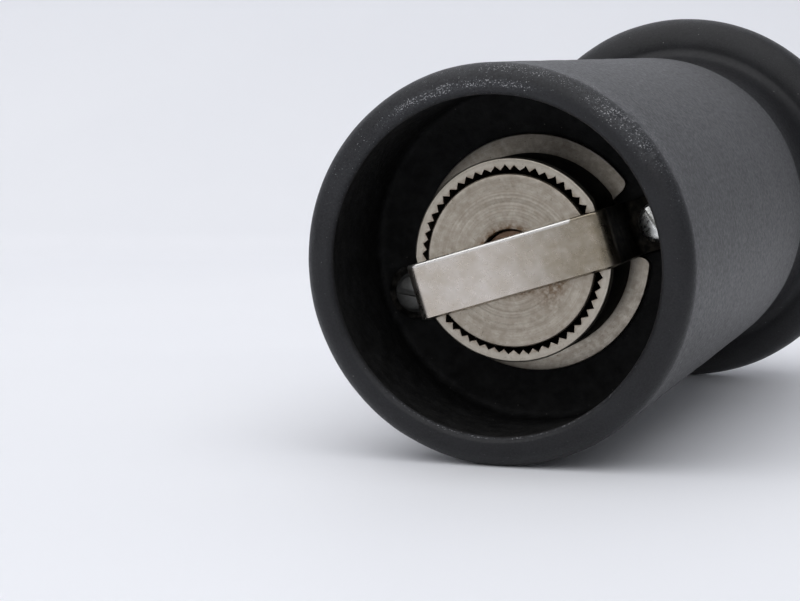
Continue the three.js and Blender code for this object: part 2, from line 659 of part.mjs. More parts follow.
// Knurled cap nut: waisted skirt, knurled band and domed top, with a blind threaded hole.
function adjustingNut() {
  const bottom = HEAD_TOP + NUT_WASHER_THICKNESS + SEAT_GAP * 3;
  const holeTop = THREAD_TOP_Z + CONE_TRAVEL + CUT_MARGIN / 2;
  const bandBottom = bottom + NUT_BAND_BOTTOM;
  const bandTop = OVERALL_HEIGHT - NUT_DOME_HEIGHT;
  const waist = NUT_RADIUS - NUT_WAIST_DEPTH;
  const profile = new THREE.Path();
  profile.moveTo(0, holeTop);
  profile.lineTo(THREAD_RADIUS + RUNNING_GAP, holeTop);
  profile.lineTo(THREAD_RADIUS + RUNNING_GAP, bottom);
  profile.lineTo(waist, bottom);
  profile.lineTo(waist, bottom + NUT_WAIST_HEIGHT);
  profile.lineTo(NUT_RADIUS, bandBottom);
  profile.lineTo(NUT_RADIUS, bandTop);
  profile.quadraticCurveTo(NUT_RADIUS, OVERALL_HEIGHT - NUT_DOME_CROWN, 0, OVERALL_HEIGHT);
  const knurlOutline = starOutline(NUT_KNURLS, NUT_RADIUS, NUT_RADIUS - NUT_KNURL_DEPTH);
  const knurl = prism(knurlOutline, bottom - CUT_MARGIN, OVERALL_HEIGHT + CUT_MARGIN);
  return turned(profile, SIDES_SMALL, DOME_STEPS).intersect(solidOf(knurl));
}

// ---- Assembly ----

addPart('body_casting', bodyCasting(), castPaint);
addPart('neck_bushing', neckBushing(), whitePlastic);
addPart('grinding_ring', grindingRing(), grindingSteel);
addPart('shaft_guide', shaftGuide(), stripSteel);
addPart('bridge', bridge(), stripSteel);

const bridgeScrews = [
  { name: 'bridge_screw_left', x: -BRIDGE_SCREW_X, slotAngle: THREE.MathUtils.degToRad(25) },
  { name: 'bridge_screw_right', x: BRIDGE_SCREW_X, slotAngle: THREE.MathUtils.degToRad(70) },
];
for (const { name, x, slotAngle } of bridgeScrews) {
  addPart(name, slottedScrew({ x, y: BRIDGE_Y, seat: FOOT_FACE_Z - SEAT_GAP, slotAngle }), screwSteel);
}

addPart('drive_shaft', driveShaft(), springSteel);
addPart('grinding_cone', grindingCone(), grindingSteel);
addPart('cone_washer', coneWasher(), springSteel);
addPart('spring_washer', springWasher(), springSteel);
addPart('cone_spring', coneSpring(), springSteel);

addPart('slip_ring', slipRing(), darkPlastic);
addPart('head_casting', headCasting(), castPaint);
addPart('head_core', headCore(), whitePlastic);
addPart('driver_plate', driverPlate(), stripSteel);
driverScrewAngles.forEach((angle, i) => {
  const seat = SPIGOT_BOTTOM_Z - SEAT_GAP - DRIVER_THICKNESS - SEAT_GAP;
  const slotAngle = angle + DRIVER_SLOT_TURN;
  const screw = slottedScrew({ ...driverScrewPlace(angle), seat, slotAngle, scale: DRIVER_SCREW_SCALE });
  addPart(`driver_plate_screw_${i + 1}`, screw, screwSteel);
});
addPart('nut_washer', nutWasher(), screwSteel);
addPart('adjusting_nut', adjustingNut(), screwSteel);

export default mill;
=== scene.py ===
import math

import bpy
import numpy as np
from mathutils import Matrix, Vector, noise


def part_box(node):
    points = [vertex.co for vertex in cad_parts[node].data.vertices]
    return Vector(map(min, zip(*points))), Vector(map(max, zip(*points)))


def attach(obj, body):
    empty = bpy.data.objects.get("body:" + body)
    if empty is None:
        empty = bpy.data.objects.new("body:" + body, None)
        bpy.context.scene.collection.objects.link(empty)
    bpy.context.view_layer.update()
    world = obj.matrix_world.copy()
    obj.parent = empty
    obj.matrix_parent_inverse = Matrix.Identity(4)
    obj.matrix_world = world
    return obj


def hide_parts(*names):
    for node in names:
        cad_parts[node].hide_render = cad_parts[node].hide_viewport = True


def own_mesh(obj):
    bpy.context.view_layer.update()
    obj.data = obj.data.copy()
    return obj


# A pepper mill with its base towards the viewer. Metres, in the CAD frame: +Z up the mill's axis,
# origin at the centre of the base, the bridge along X.
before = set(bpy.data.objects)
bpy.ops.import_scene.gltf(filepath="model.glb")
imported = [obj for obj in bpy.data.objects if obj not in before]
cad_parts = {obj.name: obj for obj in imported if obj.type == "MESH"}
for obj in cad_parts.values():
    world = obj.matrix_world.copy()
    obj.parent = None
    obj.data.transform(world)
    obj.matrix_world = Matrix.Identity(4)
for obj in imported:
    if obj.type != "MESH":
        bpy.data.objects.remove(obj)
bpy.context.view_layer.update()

MM = 0.001
SEED = 7

# ---- Sizes, read from the frame ----

_, BODY_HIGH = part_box("body_casting")
RIM_RADIUS = BODY_HIGH.x
BODY_TOP = BODY_HIGH.z
HEAD_LOW, HEAD_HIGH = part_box("head_casting")
HEAD_RADIUS = HEAD_HIGH.x
RING_LOW, RING_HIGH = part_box("grinding_ring")
FLANGE_RADIUS = RING_HIGH.y
CONE_LOW, CONE_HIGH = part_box("grinding_cone")
CONE_RADIUS = CONE_HIGH.x
BRIDGE_LOW, BRIDGE_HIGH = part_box("bridge")
BRIDGE_Y = (BRIDGE_LOW.y + BRIDGE_HIGH.y) / 2
BUSHING_LOW, BUSHING_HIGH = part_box("neck_bushing")
CORE_LOW, CORE_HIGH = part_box("head_core")
DRIVER_LOW, DRIVER_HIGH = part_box("driver_plate")
SHAFT_LOW, SHAFT_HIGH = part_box("drive_shaft")
WASHER_LOW, WASHER_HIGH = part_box("cone_washer")
NUT_LOW, NUT_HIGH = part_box("adjusting_nut")

# Body casting.
NECK_RADIUS = RIM_RADIUS - 1.35 * MM
LAND_RADIUS = RIM_RADIUS - 3.4 * MM
LIP_RADIUS = RIM_RADIUS - 4.2 * MM
RECESS_RADIUS = RIM_RADIUS - 3.3 * MM
FLOOR_Z = BRIDGE_HIGH.z + 0.05 * MM
RING_BORE = 13.7 * MM
CHAMBER_RADIUS = 21.5 * MM
MOUTH_RADIUS = 15.2 * MM

# Grinding mechanism.
RING_RADIUS = 14 * MM
RING_TEETH = 56
TOOTH_TIP = 12.25 * MM
TOOTH_DEPTH = 0.68 * MM
FLANGE_THICKNESS = 1.2 * MM
NOTCH_HALF_WIDTH = 4.85 * MM
RING_FLAT = 13.2 * MM
STRIP_THICKNESS = 1.2 * MM
POCKET_RADIUS = WASHER_HIGH.x + 0.15 * MM
BRIDGE_HALF = 14.7 * MM
BEND_RADIUS = 2 * MM
SCREW_HEIGHT = 2 * MM

# ---- Outlines: lists of (radius, height) ----


def line_to(points, end, steps):
    """Carries an outline on to a point in equal steps."""
    start = points[-1]
    for i in range(1, steps + 1):
        points.append(tuple(start[k] + (end[k] - start[k]) * i / steps for k in (0, 1)))


def arc(centre, radius, start, end, steps):
    """Points on a circle from one angle to another in degrees, both ends included."""
    points = []
    for i in range(steps + 1):
        angle = math.radians(start + (end - start) * i / steps)
        points.append((centre[0] + radius * math.cos(angle), centre[1] + radius * math.sin(angle)))
    return points


def curve(start, control_a, control_b, end, steps):
    """Points of a cubic Bezier after its start."""
    points = []
    for i in range(1, steps + 1):
        t = i / steps
        weights = ((1 - t) ** 3, 3 * t * (1 - t) ** 2, 3 * t * t * (1 - t), t ** 3)
        corners = (start, control_a, control_b, end)
        points.append(tuple(sum(w * c[k] for w, c in zip(weights, corners)) for k in (0, 1)))
    return points


def rounded_outside(outer, low, high, edge):
    """A disc's outer wall from its lower to its upper face, with both edges rounded."""
    lower = arc((outer - edge, low + edge), edge, -90, 0, 3)
    return lower + arc((outer - edge, high - edge), edge, 0, 90, 3)


# ---- Meshes ----


def finish_piece(name, verts, faces, material, sharp=35):
    """A smooth-shaded mesh object, with edges sharper than the angle kept crisp."""
    mesh = bpy.data.meshes.new(name)
    mesh.from_pydata([tuple(v) for v in verts], [], faces)
    mesh.validate()
    mesh.shade_smooth()
    mesh.set_sharp_from_angle(angle=math.radians(sharp))
    mesh.materials.append(material)
    piece = bpy.data.objects.new(name, mesh)
    bpy.context.scene.collection.objects.link(piece)
    return piece


def revolve(name, outline, sides, material, closed=True, shape=None, sharp=35):
    """Turns an outline about Z: an open one ends on the axis. shape(row, angle, r, z) may move a point."""
    verts = []
    rows = []
    for row, (radius, height) in enumerate(outline):
        if radius < 1e-9:
            rows.append([len(verts)] * sides)
            verts.append((0, 0, height))
            continue
        ring = []
        for i in range(sides):
            angle = math.tau * i / sides
            r, z = shape(row, angle, radius, height) if shape else (radius, height)
            ring.append(len(verts))
            verts.append((r * math.cos(angle), r * math.sin(angle), z))
        rows.append(ring)
    faces = []
    pairs = list(zip(rows, rows[1:]))
    if closed:
        pairs.append((rows[-1], rows[0]))
    for lower, upper in pairs:
        for i in range(sides):
            j = (i + 1) % sides
            corners = [lower[i], lower[j], upper[j], upper[i]]
            unique = list(dict.fromkeys(corners))
            if len(unique) > 2:
                faces.append(unique)
    return finish_piece(name, verts, faces, material, sharp)


def apply_modifiers(piece):
    """Replaces the piece's mesh by the one its modifiers make."""
    graph = bpy.context.evaluated_depsgraph_get()
    made = bpy.data.meshes.new_from_object(piece.evaluated_get(graph))
    piece.modifiers.clear()
    piece.data = made


def place(piece, body, node):
    """The piece rides on a body and stands for a CAD node, which is hidden."""
    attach(piece, body)
    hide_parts(node)


def vertex_arrays(piece):
    """Positions and normals of a piece's vertices."""
    count = len(piece.data.vertices)
    points = np.empty(count * 3)
    normals = np.empty(count * 3)
    piece.data.vertices.foreach_get("co", points)
    piece.data.vertex_normals.foreach_get("vector", normals)
    return points.reshape(-1, 3), normals.reshape(-1, 3)


def push(piece, height_at):
    """Moves each vertex along its normal by height_at(point)."""
    points, normals = vertex_arrays(piece)
    heights = np.array([height_at(Vector(p)) for p in points])
    points += normals * heights[:, None]
    piece.data.vertices.foreach_set("co", points.ravel())
    piece.data.update()


def paint_value(piece, name, value_at):
    """Stores value_at(point) on each vertex, for a material to read."""
    points, _ = vertex_arrays(piece)
    layer = piece.data.attributes.new(name, "FLOAT", "POINT")
    layer.data.foreach_set("value", [value_at(Vector(p)) for p in points])


def from_axis(point):
    return math.hypot(point.x, point.y)


def squared(radius, angle):
    """Radius of a square hole or bar at an angle, from half the width across its flats."""
    return radius / max(abs(math.cos(angle)), abs(math.sin(angle)))


def angle_of(point):
    return math.degrees(math.atan2(point.y, point.x)) % 360


def near_angle(point, centre, half_width):
    """1 at an angle round the mill, falling to 0 half_width degrees away."""
    away = abs((angle_of(point) - centre + 180) % 360 - 180)
    return max(0.0, 1 - away / half_width)


def smooth(value):
    value = min(1.0, max(0.0, value))
    return value * value * (3 - 2 * value)


# ---- Materials ----


class Shader:
    """A material with one Principled BSDF, and short ways to add the nodes that feed it."""

    def __init__(self, name, **values):
        self.material = bpy.data.materials.new(name)
        self.material.use_nodes = True
        self.tree = self.material.node_tree
        self.bsdf = self.tree.nodes["Principled BSDF"]
        self.set(self.bsdf, **values)
        self.coords = self.tree.nodes.new("ShaderNodeTexCoord").outputs["Object"]
        self.surface = None

    def node(self, kind, **settings):
        made = self.tree.nodes.new(kind)
        for key, value in settings.items():
            setattr(made, key, value)
        return made

    def link(self, output, target):
        self.tree.links.new(output, target)

    def feed(self, socket, value):
        if hasattr(value, "is_output"):
            self.link(value, socket)
        elif isinstance(value, tuple):
            socket.default_value = (*value, 1) if len(socket.default_value) == 4 else value
        else:
            socket.default_value = value

    def set(self, node, **values):
        """Feeds a node's sockets by name, with _ for each space."""
        for key, value in values.items():
            self.feed(node.inputs[key.replace("_", " ")], value)

    def stretched(self, scale, turn=(0, 0, 0)):
        """Object coordinates in metres, turned and then stretched."""
        mapping = self.node("ShaderNodeMapping")
        self.set(mapping, Vector=self.coords, Rotation=turn, Scale=scale)
        return mapping.outputs["Vector"]

    def noise(self, size, detail=2.0, rough=0.5, vector=None):
        """Soft noise whose lumps are about size metres across."""
        made = self.node("ShaderNodeTexNoise")
        self.set(made, Vector=vector or self.coords, Scale=1 / size, Detail=detail, Roughness=rough)
        return made.outputs["Fac"]

    def cells(self, size):
        """Distance from scattered points about size metres apart."""
        made = self.node("ShaderNodeTexVoronoi")
        self.set(made, Vector=self.coords, Scale=1 / size)
        return made.outputs["Distance"]

    def band(self, value, low, high, to_low=0.0, to_high=1.0):
        """Value spread from low..high to to_low..to_high, and held there outside."""
        made = self.node("ShaderNodeMapRange", clamp=True)
        self.set(made, Value=value, From_Min=low, From_Max=high, To_Min=to_low, To_Max=to_high)
        return made.outputs["Result"]

    def sum(self, a, b, how="ADD"):
        made = self.node("ShaderNodeMath", operation=how)
        self.feed(made.inputs[0], a)
        self.feed(made.inputs[1], b)
        return made.outputs[0]

    def times(self, a, b):
        return self.sum(a, b, "MULTIPLY")

    def blend(self, share, a, b):
        """Colour a where share is 0, colour b where it is 1."""
        made = self.node("ShaderNodeMix", data_type="RGBA")
        self.feed(made.inputs[0], share)
        self.feed(made.inputs[6], a)
        self.feed(made.inputs[7], b)
        return made.outputs[2]

    def painted(self, name):
        return self.node("ShaderNodeAttribute", attribute_name=name).outputs["Fac"]

    def radius(self):
        """Distance from the mill's axis, in metres."""
        split = self.node("ShaderNodeSeparateXYZ")
        self.link(self.coords, split.inputs[0])
        squares = [self.times(split.outputs[k], split.outputs[k]) for k in (0, 1)]
        return self.sum(self.sum(*squares), 0.5, "POWER")

    def along(self, value, size, detail=3.0):
        """One-dimensional noise that runs along a value in metres."""
        made = self.node("ShaderNodeTexNoise", noise_dimensions="1D")
        self.set(made, W=value, Scale=1 / size, Detail=detail)
        return made.outputs["Fac"]

    def bump(self, height, depth, strength=1.0):
        """Adds relief: height 0..1 stands for depth metres."""
        made = self.node("ShaderNodeBump")
        self.set(made, Strength=strength, Distance=depth, Height=height)
        if self.surface:
            self.set(made, Normal=self.surface)
        self.surface = made.outputs["Normal"]

    def done(self, colour=None, rough=None):
        if colour is not None:
            self.set(self.bsdf, Base_Color=colour)
        if rough is not None:
            self.set(self.bsdf, Roughness=rough)
        if self.surface:
            self.set(self.bsdf, Normal=self.surface)
        return self.material


def cast_paint():
    """Matt black enamel on cast iron: sandy grain, soft lumps, dust, rubbing and flecks where wear and
    painted sheen lie.
    """
    s = Shader("cast_paint", Specular_IOR_Level=0.3)
    grain = s.noise(0.26 * MM, 3, 0.6)
    lumps = s.noise(1.5 * MM, 3, 0.5)
    s.bump(lumps, 0.05 * MM, 0.7)
    s.bump(grain, 0.04 * MM, 0.9)
    colour = s.blend(s.band(grain, 0.35, 0.75), (0.005, 0.005, 0.006), (0.016, 0.016, 0.018))
    colour = s.blend(s.band(s.noise(7 * MM, 4), 0.42, 0.72, 0.0, 0.4), colour, (0.018, 0.019, 0.022))
    # This mask holds rim wear and a painted sheen on the outer rounding: both lighten the paint and add pale
    # flecks.
    wear_and_sheen = s.painted("wear_and_sheen")
    rubbed_and_sheen = s.times(wear_and_sheen, s.band(s.noise(0.35 * MM, 4, 0.7), 0.35, 0.7))
    colour = s.blend(rubbed_and_sheen, colour, (0.055, 0.057, 0.063))
    patchy = s.times(wear_and_sheen, s.band(s.noise(1.8 * MM, 3, 0.6), 0.35, 0.6, 0.1, 0.22))
    flecks = s.band(s.sum(s.noise(0.2 * MM, 2, 0.5), patchy), 0.75, 0.81)
    colour = s.blend(s.times(flecks, 0.85), colour, (0.3, 0.3, 0.31))
    speck = s.band(s.cells(2.4 * MM), 0.045, 0.03)
    colour = s.blend(s.times(speck, 0.5), colour, (0.25, 0.25, 0.24))
    rough = s.band(s.noise(0.6 * MM, 3, 0.6), 0.3, 0.7, 0.36, 0.52)
    return s.done(colour, rough)


def shaded_recess_paint():
    """Painted shade: a darker, duller copy of the body paint inside the casting; rough, greasy, pepper dust
    in corners.
    """
    s = Shader("shaded_recess_paint", Specular_IOR_Level=0.16)
    s.bump(s.noise(1.1 * MM, 4, 0.6), 0.16 * MM, 0.9)
    s.bump(s.noise(0.22 * MM, 3, 0.6), 0.03 * MM, 0.8)
    mottling = s.band(s.noise(2.2 * MM, 4, 0.6), 0.35, 0.7)
    colour = s.blend(mottling, (0.0045, 0.0045, 0.0045), (0.014, 0.014, 0.014))
    speck = s.band(s.cells(1.7 * MM), 0.07, 0.035)
    colour = s.blend(s.times(speck, 0.4), colour, (0.14, 0.13, 0.12))
    rough = s.band(s.noise(0.8 * MM, 3, 0.6), 0.3, 0.7, 0.55, 0.75)
    return s.done(colour, rough)


def turned_steel(name, colour, dark, ring_depth, stain):
    """Machined steel with rings round the axis, mottling, brown stains, and near-black painted shade in
    hollows and hidden sides.
    """
    s = Shader(name, Metallic=1.0, Anisotropic=0.35)
    tangent = s.node("ShaderNodeTangent", direction_type="RADIAL", axis="Z")
    s.link(tangent.outputs[0], s.bsdf.inputs["Tangent"])
    rings = s.along(s.radius(), 0.13 * MM, 4)
    broad_rings = s.along(s.radius(), 0.7 * MM, 2)
    s.bump(rings, ring_depth, 0.6)
    s.bump(s.noise(0.35 * MM, 4, 0.65), 0.007 * MM, 0.6)
    mottling = s.band(s.noise(1.3 * MM, 5, 0.62), 0.35, 0.7)
    tint = s.blend(mottling, colour, dark)
    tint = s.blend(s.band(rings, 0.35, 0.7, 0.0, 0.5), tint, dark)
    tint = s.blend(s.band(broad_rings, 0.35, 0.7, 0.0, 0.4), tint, dark)
    pits = s.band(s.noise(0.3 * MM, 3, 0.6), 0.64, 0.72, 0.0, 0.6)
    tint = s.blend(pits, tint, (0.12, 0.095, 0.07))
    patchy = s.times(s.painted("stain"), s.band(s.noise(0.7 * MM, 5, 0.7), 0.34, 0.58))
    tint = s.blend(s.times(patchy, stain), tint, (0.15, 0.092, 0.05))
    # Painted shade: this mask turns the steel nearly black, and rougher, where shade falls in hollows and
    # between parts.
    grime_and_shade = s.painted("grime_and_shade")
    tint = s.blend(grime_and_shade, tint, (0.005, 0.0045, 0.004))
    rough = s.band(s.noise(0.7 * MM, 5, 0.7), 0.3, 0.75, 0.3, 0.5)
    return s.done(tint, s.sum(rough, s.times(grime_and_shade, 0.4)))


def strip_steel():
    """Nickel-plated rolled strip: rolling lines, short scratches, slight yellowing, painted shade and a
    painted edge highlight.
    """
    s = Shader("strip_steel", Metallic=1.0)
    rolling = s.noise(0.12 * MM, 3, 0.6, s.stretched((0.04, 1, 1)))
    scratches = s.noise(0.3 * MM, 2, 0.5, s.stretched((0.18, 1.6, 1), (0, 0, 0.7)))
    s.bump(rolling, 0.004 * MM, 0.5)
    s.bump(s.band(scratches, 0.62, 0.7), 0.004 * MM, 0.6)
    s.bump(s.noise(1.5 * MM, 3, 0.5), 0.02 * MM, 0.5)
    warm = s.band(s.noise(3 * MM, 3, 0.5), 0.35, 0.7)
    tint = s.blend(warm, (0.63, 0.58, 0.53), (0.52, 0.465, 0.395))
    # Tarnish and painted shade: darkens and warms the strip towards its right end, where it reflects the
    # dark side of the recess.
    tarnish_and_shade = s.times(s.painted("tarnish_and_shade"), s.band(s.noise(1.6 * MM, 4, 0.6), 0.3, 0.65, 0.7, 1.0))
    tint = s.blend(tarnish_and_shade, tint, (0.2, 0.165, 0.105))
    # Painted highlight: a thin near-white line along the strip's upper edge, in place of its reflection of
    # the overhead light.
    tint = s.blend(s.painted("edge_highlight"), tint, (0.95, 0.93, 0.9))
    # Painted shade: the legs and feet deep in the recess turn nearly black and rougher.
    grime_and_shade = s.times(s.painted("grime_and_shade"), s.band(s.noise(1.2 * MM, 4, 0.6), 0.2, 0.6, 0.85, 1.0))
    tint = s.blend(grime_and_shade, tint, (0.008, 0.0075, 0.007))
    rough = s.band(s.noise(0.9 * MM, 5, 0.7), 0.3, 0.75, 0.22, 0.4)
    return s.done(tint, s.sum(rough, s.times(grime_and_shade, 0.35)))


def bright_steel(name, colour, low, high, dents=0.0):
    """Fastener steel with small handling marks, and soft dents where it has been hammered."""
    s = Shader(name, Metallic=1.0)
    s.bump(s.noise(0.25 * MM, 4, 0.6), 0.004 * MM, 0.5)
    if dents:
        s.bump(s.noise(0.9 * MM, 3, 0.5), dents, 0.6)
    dull = s.band(s.noise(1.6 * MM, 4, 0.6), 0.35, 0.75)
    tint = s.blend(dull, colour, tuple(0.82 * c for c in colour))
    rough = s.band(s.noise(0.5 * MM, 4, 0.6), 0.3, 0.7, low, high)
    return s.done(tint, rough)


def moulded_plastic(name, colour, shade):
    """Moulded plastic with a faint spark-eroded grain and flow marks."""
    s = Shader(name)
    s.bump(s.noise(0.2 * MM, 3, 0.6), 0.01 * MM, 0.5)
    tint = s.blend(s.band(s.noise(5 * MM, 3, 0.5), 0.35, 0.7), colour, shade)
    rough = s.band(s.noise(0.8 * MM, 3, 0.5), 0.3, 0.7, 0.42, 0.58)
    return s.done(tint, rough)


PAINT = cast_paint()
SHADED_RECESS_PAINT = shaded_recess_paint()
RING_STEEL = turned_steel("ring_steel", (0.56, 0.52, 0.45), (0.4, 0.36, 0.3), 0.008 * MM, 0.8)
CONE_STEEL = turned_steel("cone_steel", (0.53, 0.485, 0.415), (0.33, 0.29, 0.235), 0.014 * MM, 0.95)
STRIP_STEEL = strip_steel()
SCREW_STEEL = bright_steel("screw_steel", (0.85, 0.85, 0.82), 0.2, 0.42, 0.05 * MM)
# Painted shade: a darker, rougher copy of the screw steel for the left screw, which sits in shadow.
SHADED_SCREW_STEEL = bright_steel("shaded_screw_steel", (0.26, 0.26, 0.25), 0.5, 0.7, 0.05 * MM)
NUT_STEEL = bright_steel("nut_steel", (0.7, 0.7, 0.7), 0.2, 0.38)
SHAFT_STEEL = bright_steel("shaft_steel", (0.42, 0.41, 0.4), 0.32, 0.5)
RIVET_STEEL = bright_steel("rivet_steel", (0.2, 0.13, 0.09), 0.35, 0.55, 0.03 * MM)
WHITE_PLASTIC = moulded_plastic("white_plastic", (0.62, 0.6, 0.54), (0.55, 0.53, 0.47))
DARK_PLASTIC = moulded_plastic("dark_plastic", (0.02, 0.02, 0.022), (0.03, 0.03, 0.032))


# ---- Body ----

RIM_ROUND = 2.8 * MM
LIP_EDGE = 0.35 * MM
SCRATCH_RADIUS = 26.45 * MM
SCRATCH_ANGLE = 330.5
SCRATCH_HALF_ANGLE = 3.4
CHIPS = (  # angle, radius from the axis, width and depth of each dent in the rim
    (327, 26.2 * MM, 1.1 * MM, 0.16 * MM),
    (330, 26.7 * MM, 1.5 * MM, 0.26 * MM),
    (334, 26.5 * MM, 1.0 * MM, 0.2 * MM),
    (340.6, 26.4 * MM, 0.9 * MM, 0.24 * MM),
    (322, 26.0 * MM, 0.9 * MM, 0.12 * MM),
    (268, 25.0 * MM, 0.8 * MM, 0.08 * MM),
    (253, 25.4 * MM, 0.9 * MM, 0.07 * MM),
    (205, 26.0 * MM, 0.8 * MM, 0.06 * MM),
)


def body_outline():
    round_centre = (RIM_RADIUS - RIM_ROUND, RIM_ROUND)
    top_round = 1.2 * MM
    bushing_seat = BUSHING_HIGH.x + 0.05 * MM
    corner = 1.0 * MM
    points = [(LAND_RADIUS, 0.0)]
    line_to(points, (round_centre[0], 0.0), 4)
    points += arc(round_centre, RIM_ROUND, -90, 0, 36)[1:]
    line_to(points, (NECK_RADIUS, BODY_TOP - top_round), 64)
    points += arc((NECK_RADIUS - top_round, BODY_TOP - top_round), top_round, 0, 90, 6)[1:]
    line_to(points, (bushing_seat, BODY_TOP), 6)
    line_to(points, (bushing_seat, BUSHING_LOW.z - 0.05 * MM), 4)
    line_to(points, (MOUTH_RADIUS, points[-1][1]), 1)
    line_to(points, (MOUTH_RADIUS, points[-1][1] - 2 * MM), 2)
    line_to(points, (CHAMBER_RADIUS, 72 * MM), 6)
    line_to(points, (CHAMBER_RADIUS, 40 * MM), 16)
    line_to(points, (RING_BORE, 31 * MM), 8)
    line_to(points, (RING_BORE, FLOOR_Z), 8)
    line_to(points, (RECESS_RADIUS - corner, FLOOR_Z), 18)
    points += arc((RECESS_RADIUS - corner, FLOOR_Z - corner), corner, 90, 0, 5)[1:]
    lip_top = (LIP_RADIUS, 1.0 * MM)
    line_to(points, (LIP_RADIUS + 0.15 * MM, 2.2 * MM), 44)
    points += curve(points[-1], (LIP_RADIUS, 1.6 * MM), (LIP_RADIUS, 1.3 * MM), lip_top, 4)
    land = (LAND_RADIUS, 0)
    points += curve(lip_top, (LIP_RADIUS, 0.55 * MM), (LAND_RADIUS - LIP_EDGE, 0.05 * MM), land, 5)
    return points[:-1]


def cast_relief(point):
    """Unevenness of the casting: slight outside, rougher in the recess, with dents in the rim."""
    radius = from_axis(point)
    inside = smooth((point.z - 1.2 * MM) / (2 * MM)) * (radius < RECESS_RADIUS + 0.5 * MM)
    slow = noise.noise(point / (7 * MM)) * 0.05 * MM
    fine = noise.fractal(point / (1.7 * MM), 1.0, 2.0, 3) * (0.012 + 0.075 * inside) * MM
    dents = 0.0
    for angle, chip_radius, width, depth in CHIPS:
        if point.z < 4 * MM:
            turn = math.radians(angle)
            centre = Vector((math.cos(turn), math.sin(turn), 0)) * chip_radius
            centre.z = point.z
            away = (point - centre).length / width
            away += noise.noise(point / (0.5 * MM)) * 0.25
            dents -= depth * smooth(1 - away)
    scratch = smooth(1 - abs(radius - SCRATCH_RADIUS) / (0.2 * MM))
    scratch *= smooth(2 * near_angle(point, SCRATCH_ANGLE, SCRATCH_HALF_ANGLE))
    dents -= 0.2 * MM * scratch * (point.z < 2 * MM)
    return slow + fine + dents


def body_wear_and_sheen(point):
    """Rim scuffs (a thin arc, a patch by the dents, the lip), a broad band lighter at the top, painted sheen
    on the outer edge.
    """
    radius = from_axis(point)
    on_rim = smooth(1 - point.z / (3.2 * MM)) * (radius > LIP_RADIUS - 0.3 * MM)
    crest = smooth(1 - abs(radius - 24.3 * MM) / (0.9 * MM))
    arc_wear = crest * smooth(1.6 * near_angle(point, 277, 34))
    patch = 0.62 * smooth((radius - 24 * MM) / (1.5 * MM)) * smooth(1.5 * near_angle(point, 329, 19))
    lip_edge = smooth(1 - abs(radius - LIP_RADIUS - 0.18 * MM) / (0.2 * MM)) * (point.z < 1.2 * MM)
    worn_lip = lip_edge * (0.2 + smooth(near_angle(point, 105, 60) * 2))
    # Lighter towards the top of the rim.
    broad = 0.05 + 0.32 * smooth(1.5 * near_angle(point, 255, 70))
    # Painted sheen: lightens the outer rounding at the upper right, where the body's side catches a grazing
    # reflection.
    outer = 0.6 * smooth((radius - 25 * MM) / (1.7 * MM)) * smooth(1.5 * near_angle(point, 318, 62))
    outer_sheen = outer * smooth(2 - point.z / (5 * MM))
    return min(1.0, on_rim * (broad + arc_wear + patch) + outer_sheen + worn_lip)


def make_body():
    body = revolve("body_casting_piece", body_outline(), 384, PAINT)
    # Painted shade: faces inside the recess take the darker recess paint.
    body.data.materials.append(SHADED_RECESS_PAINT)
    for face in body.data.polygons:
        radius = from_axis(face.center)
        inside = 1 * MM < face.center.z < BODY_TOP and radius < RECESS_RADIUS
        face.material_index = int(inside)
    push(body, cast_relief)
    paint_value(body, "wear_and_sheen", body_wear_and_sheen)
    place(body, "body", "body_casting")


# ---- Grinding mechanism ----


def saw(turns):
    """Triangle wave from 0 to 1 and back over each turn."""
    return abs(2 * (turns % 1) - 1)


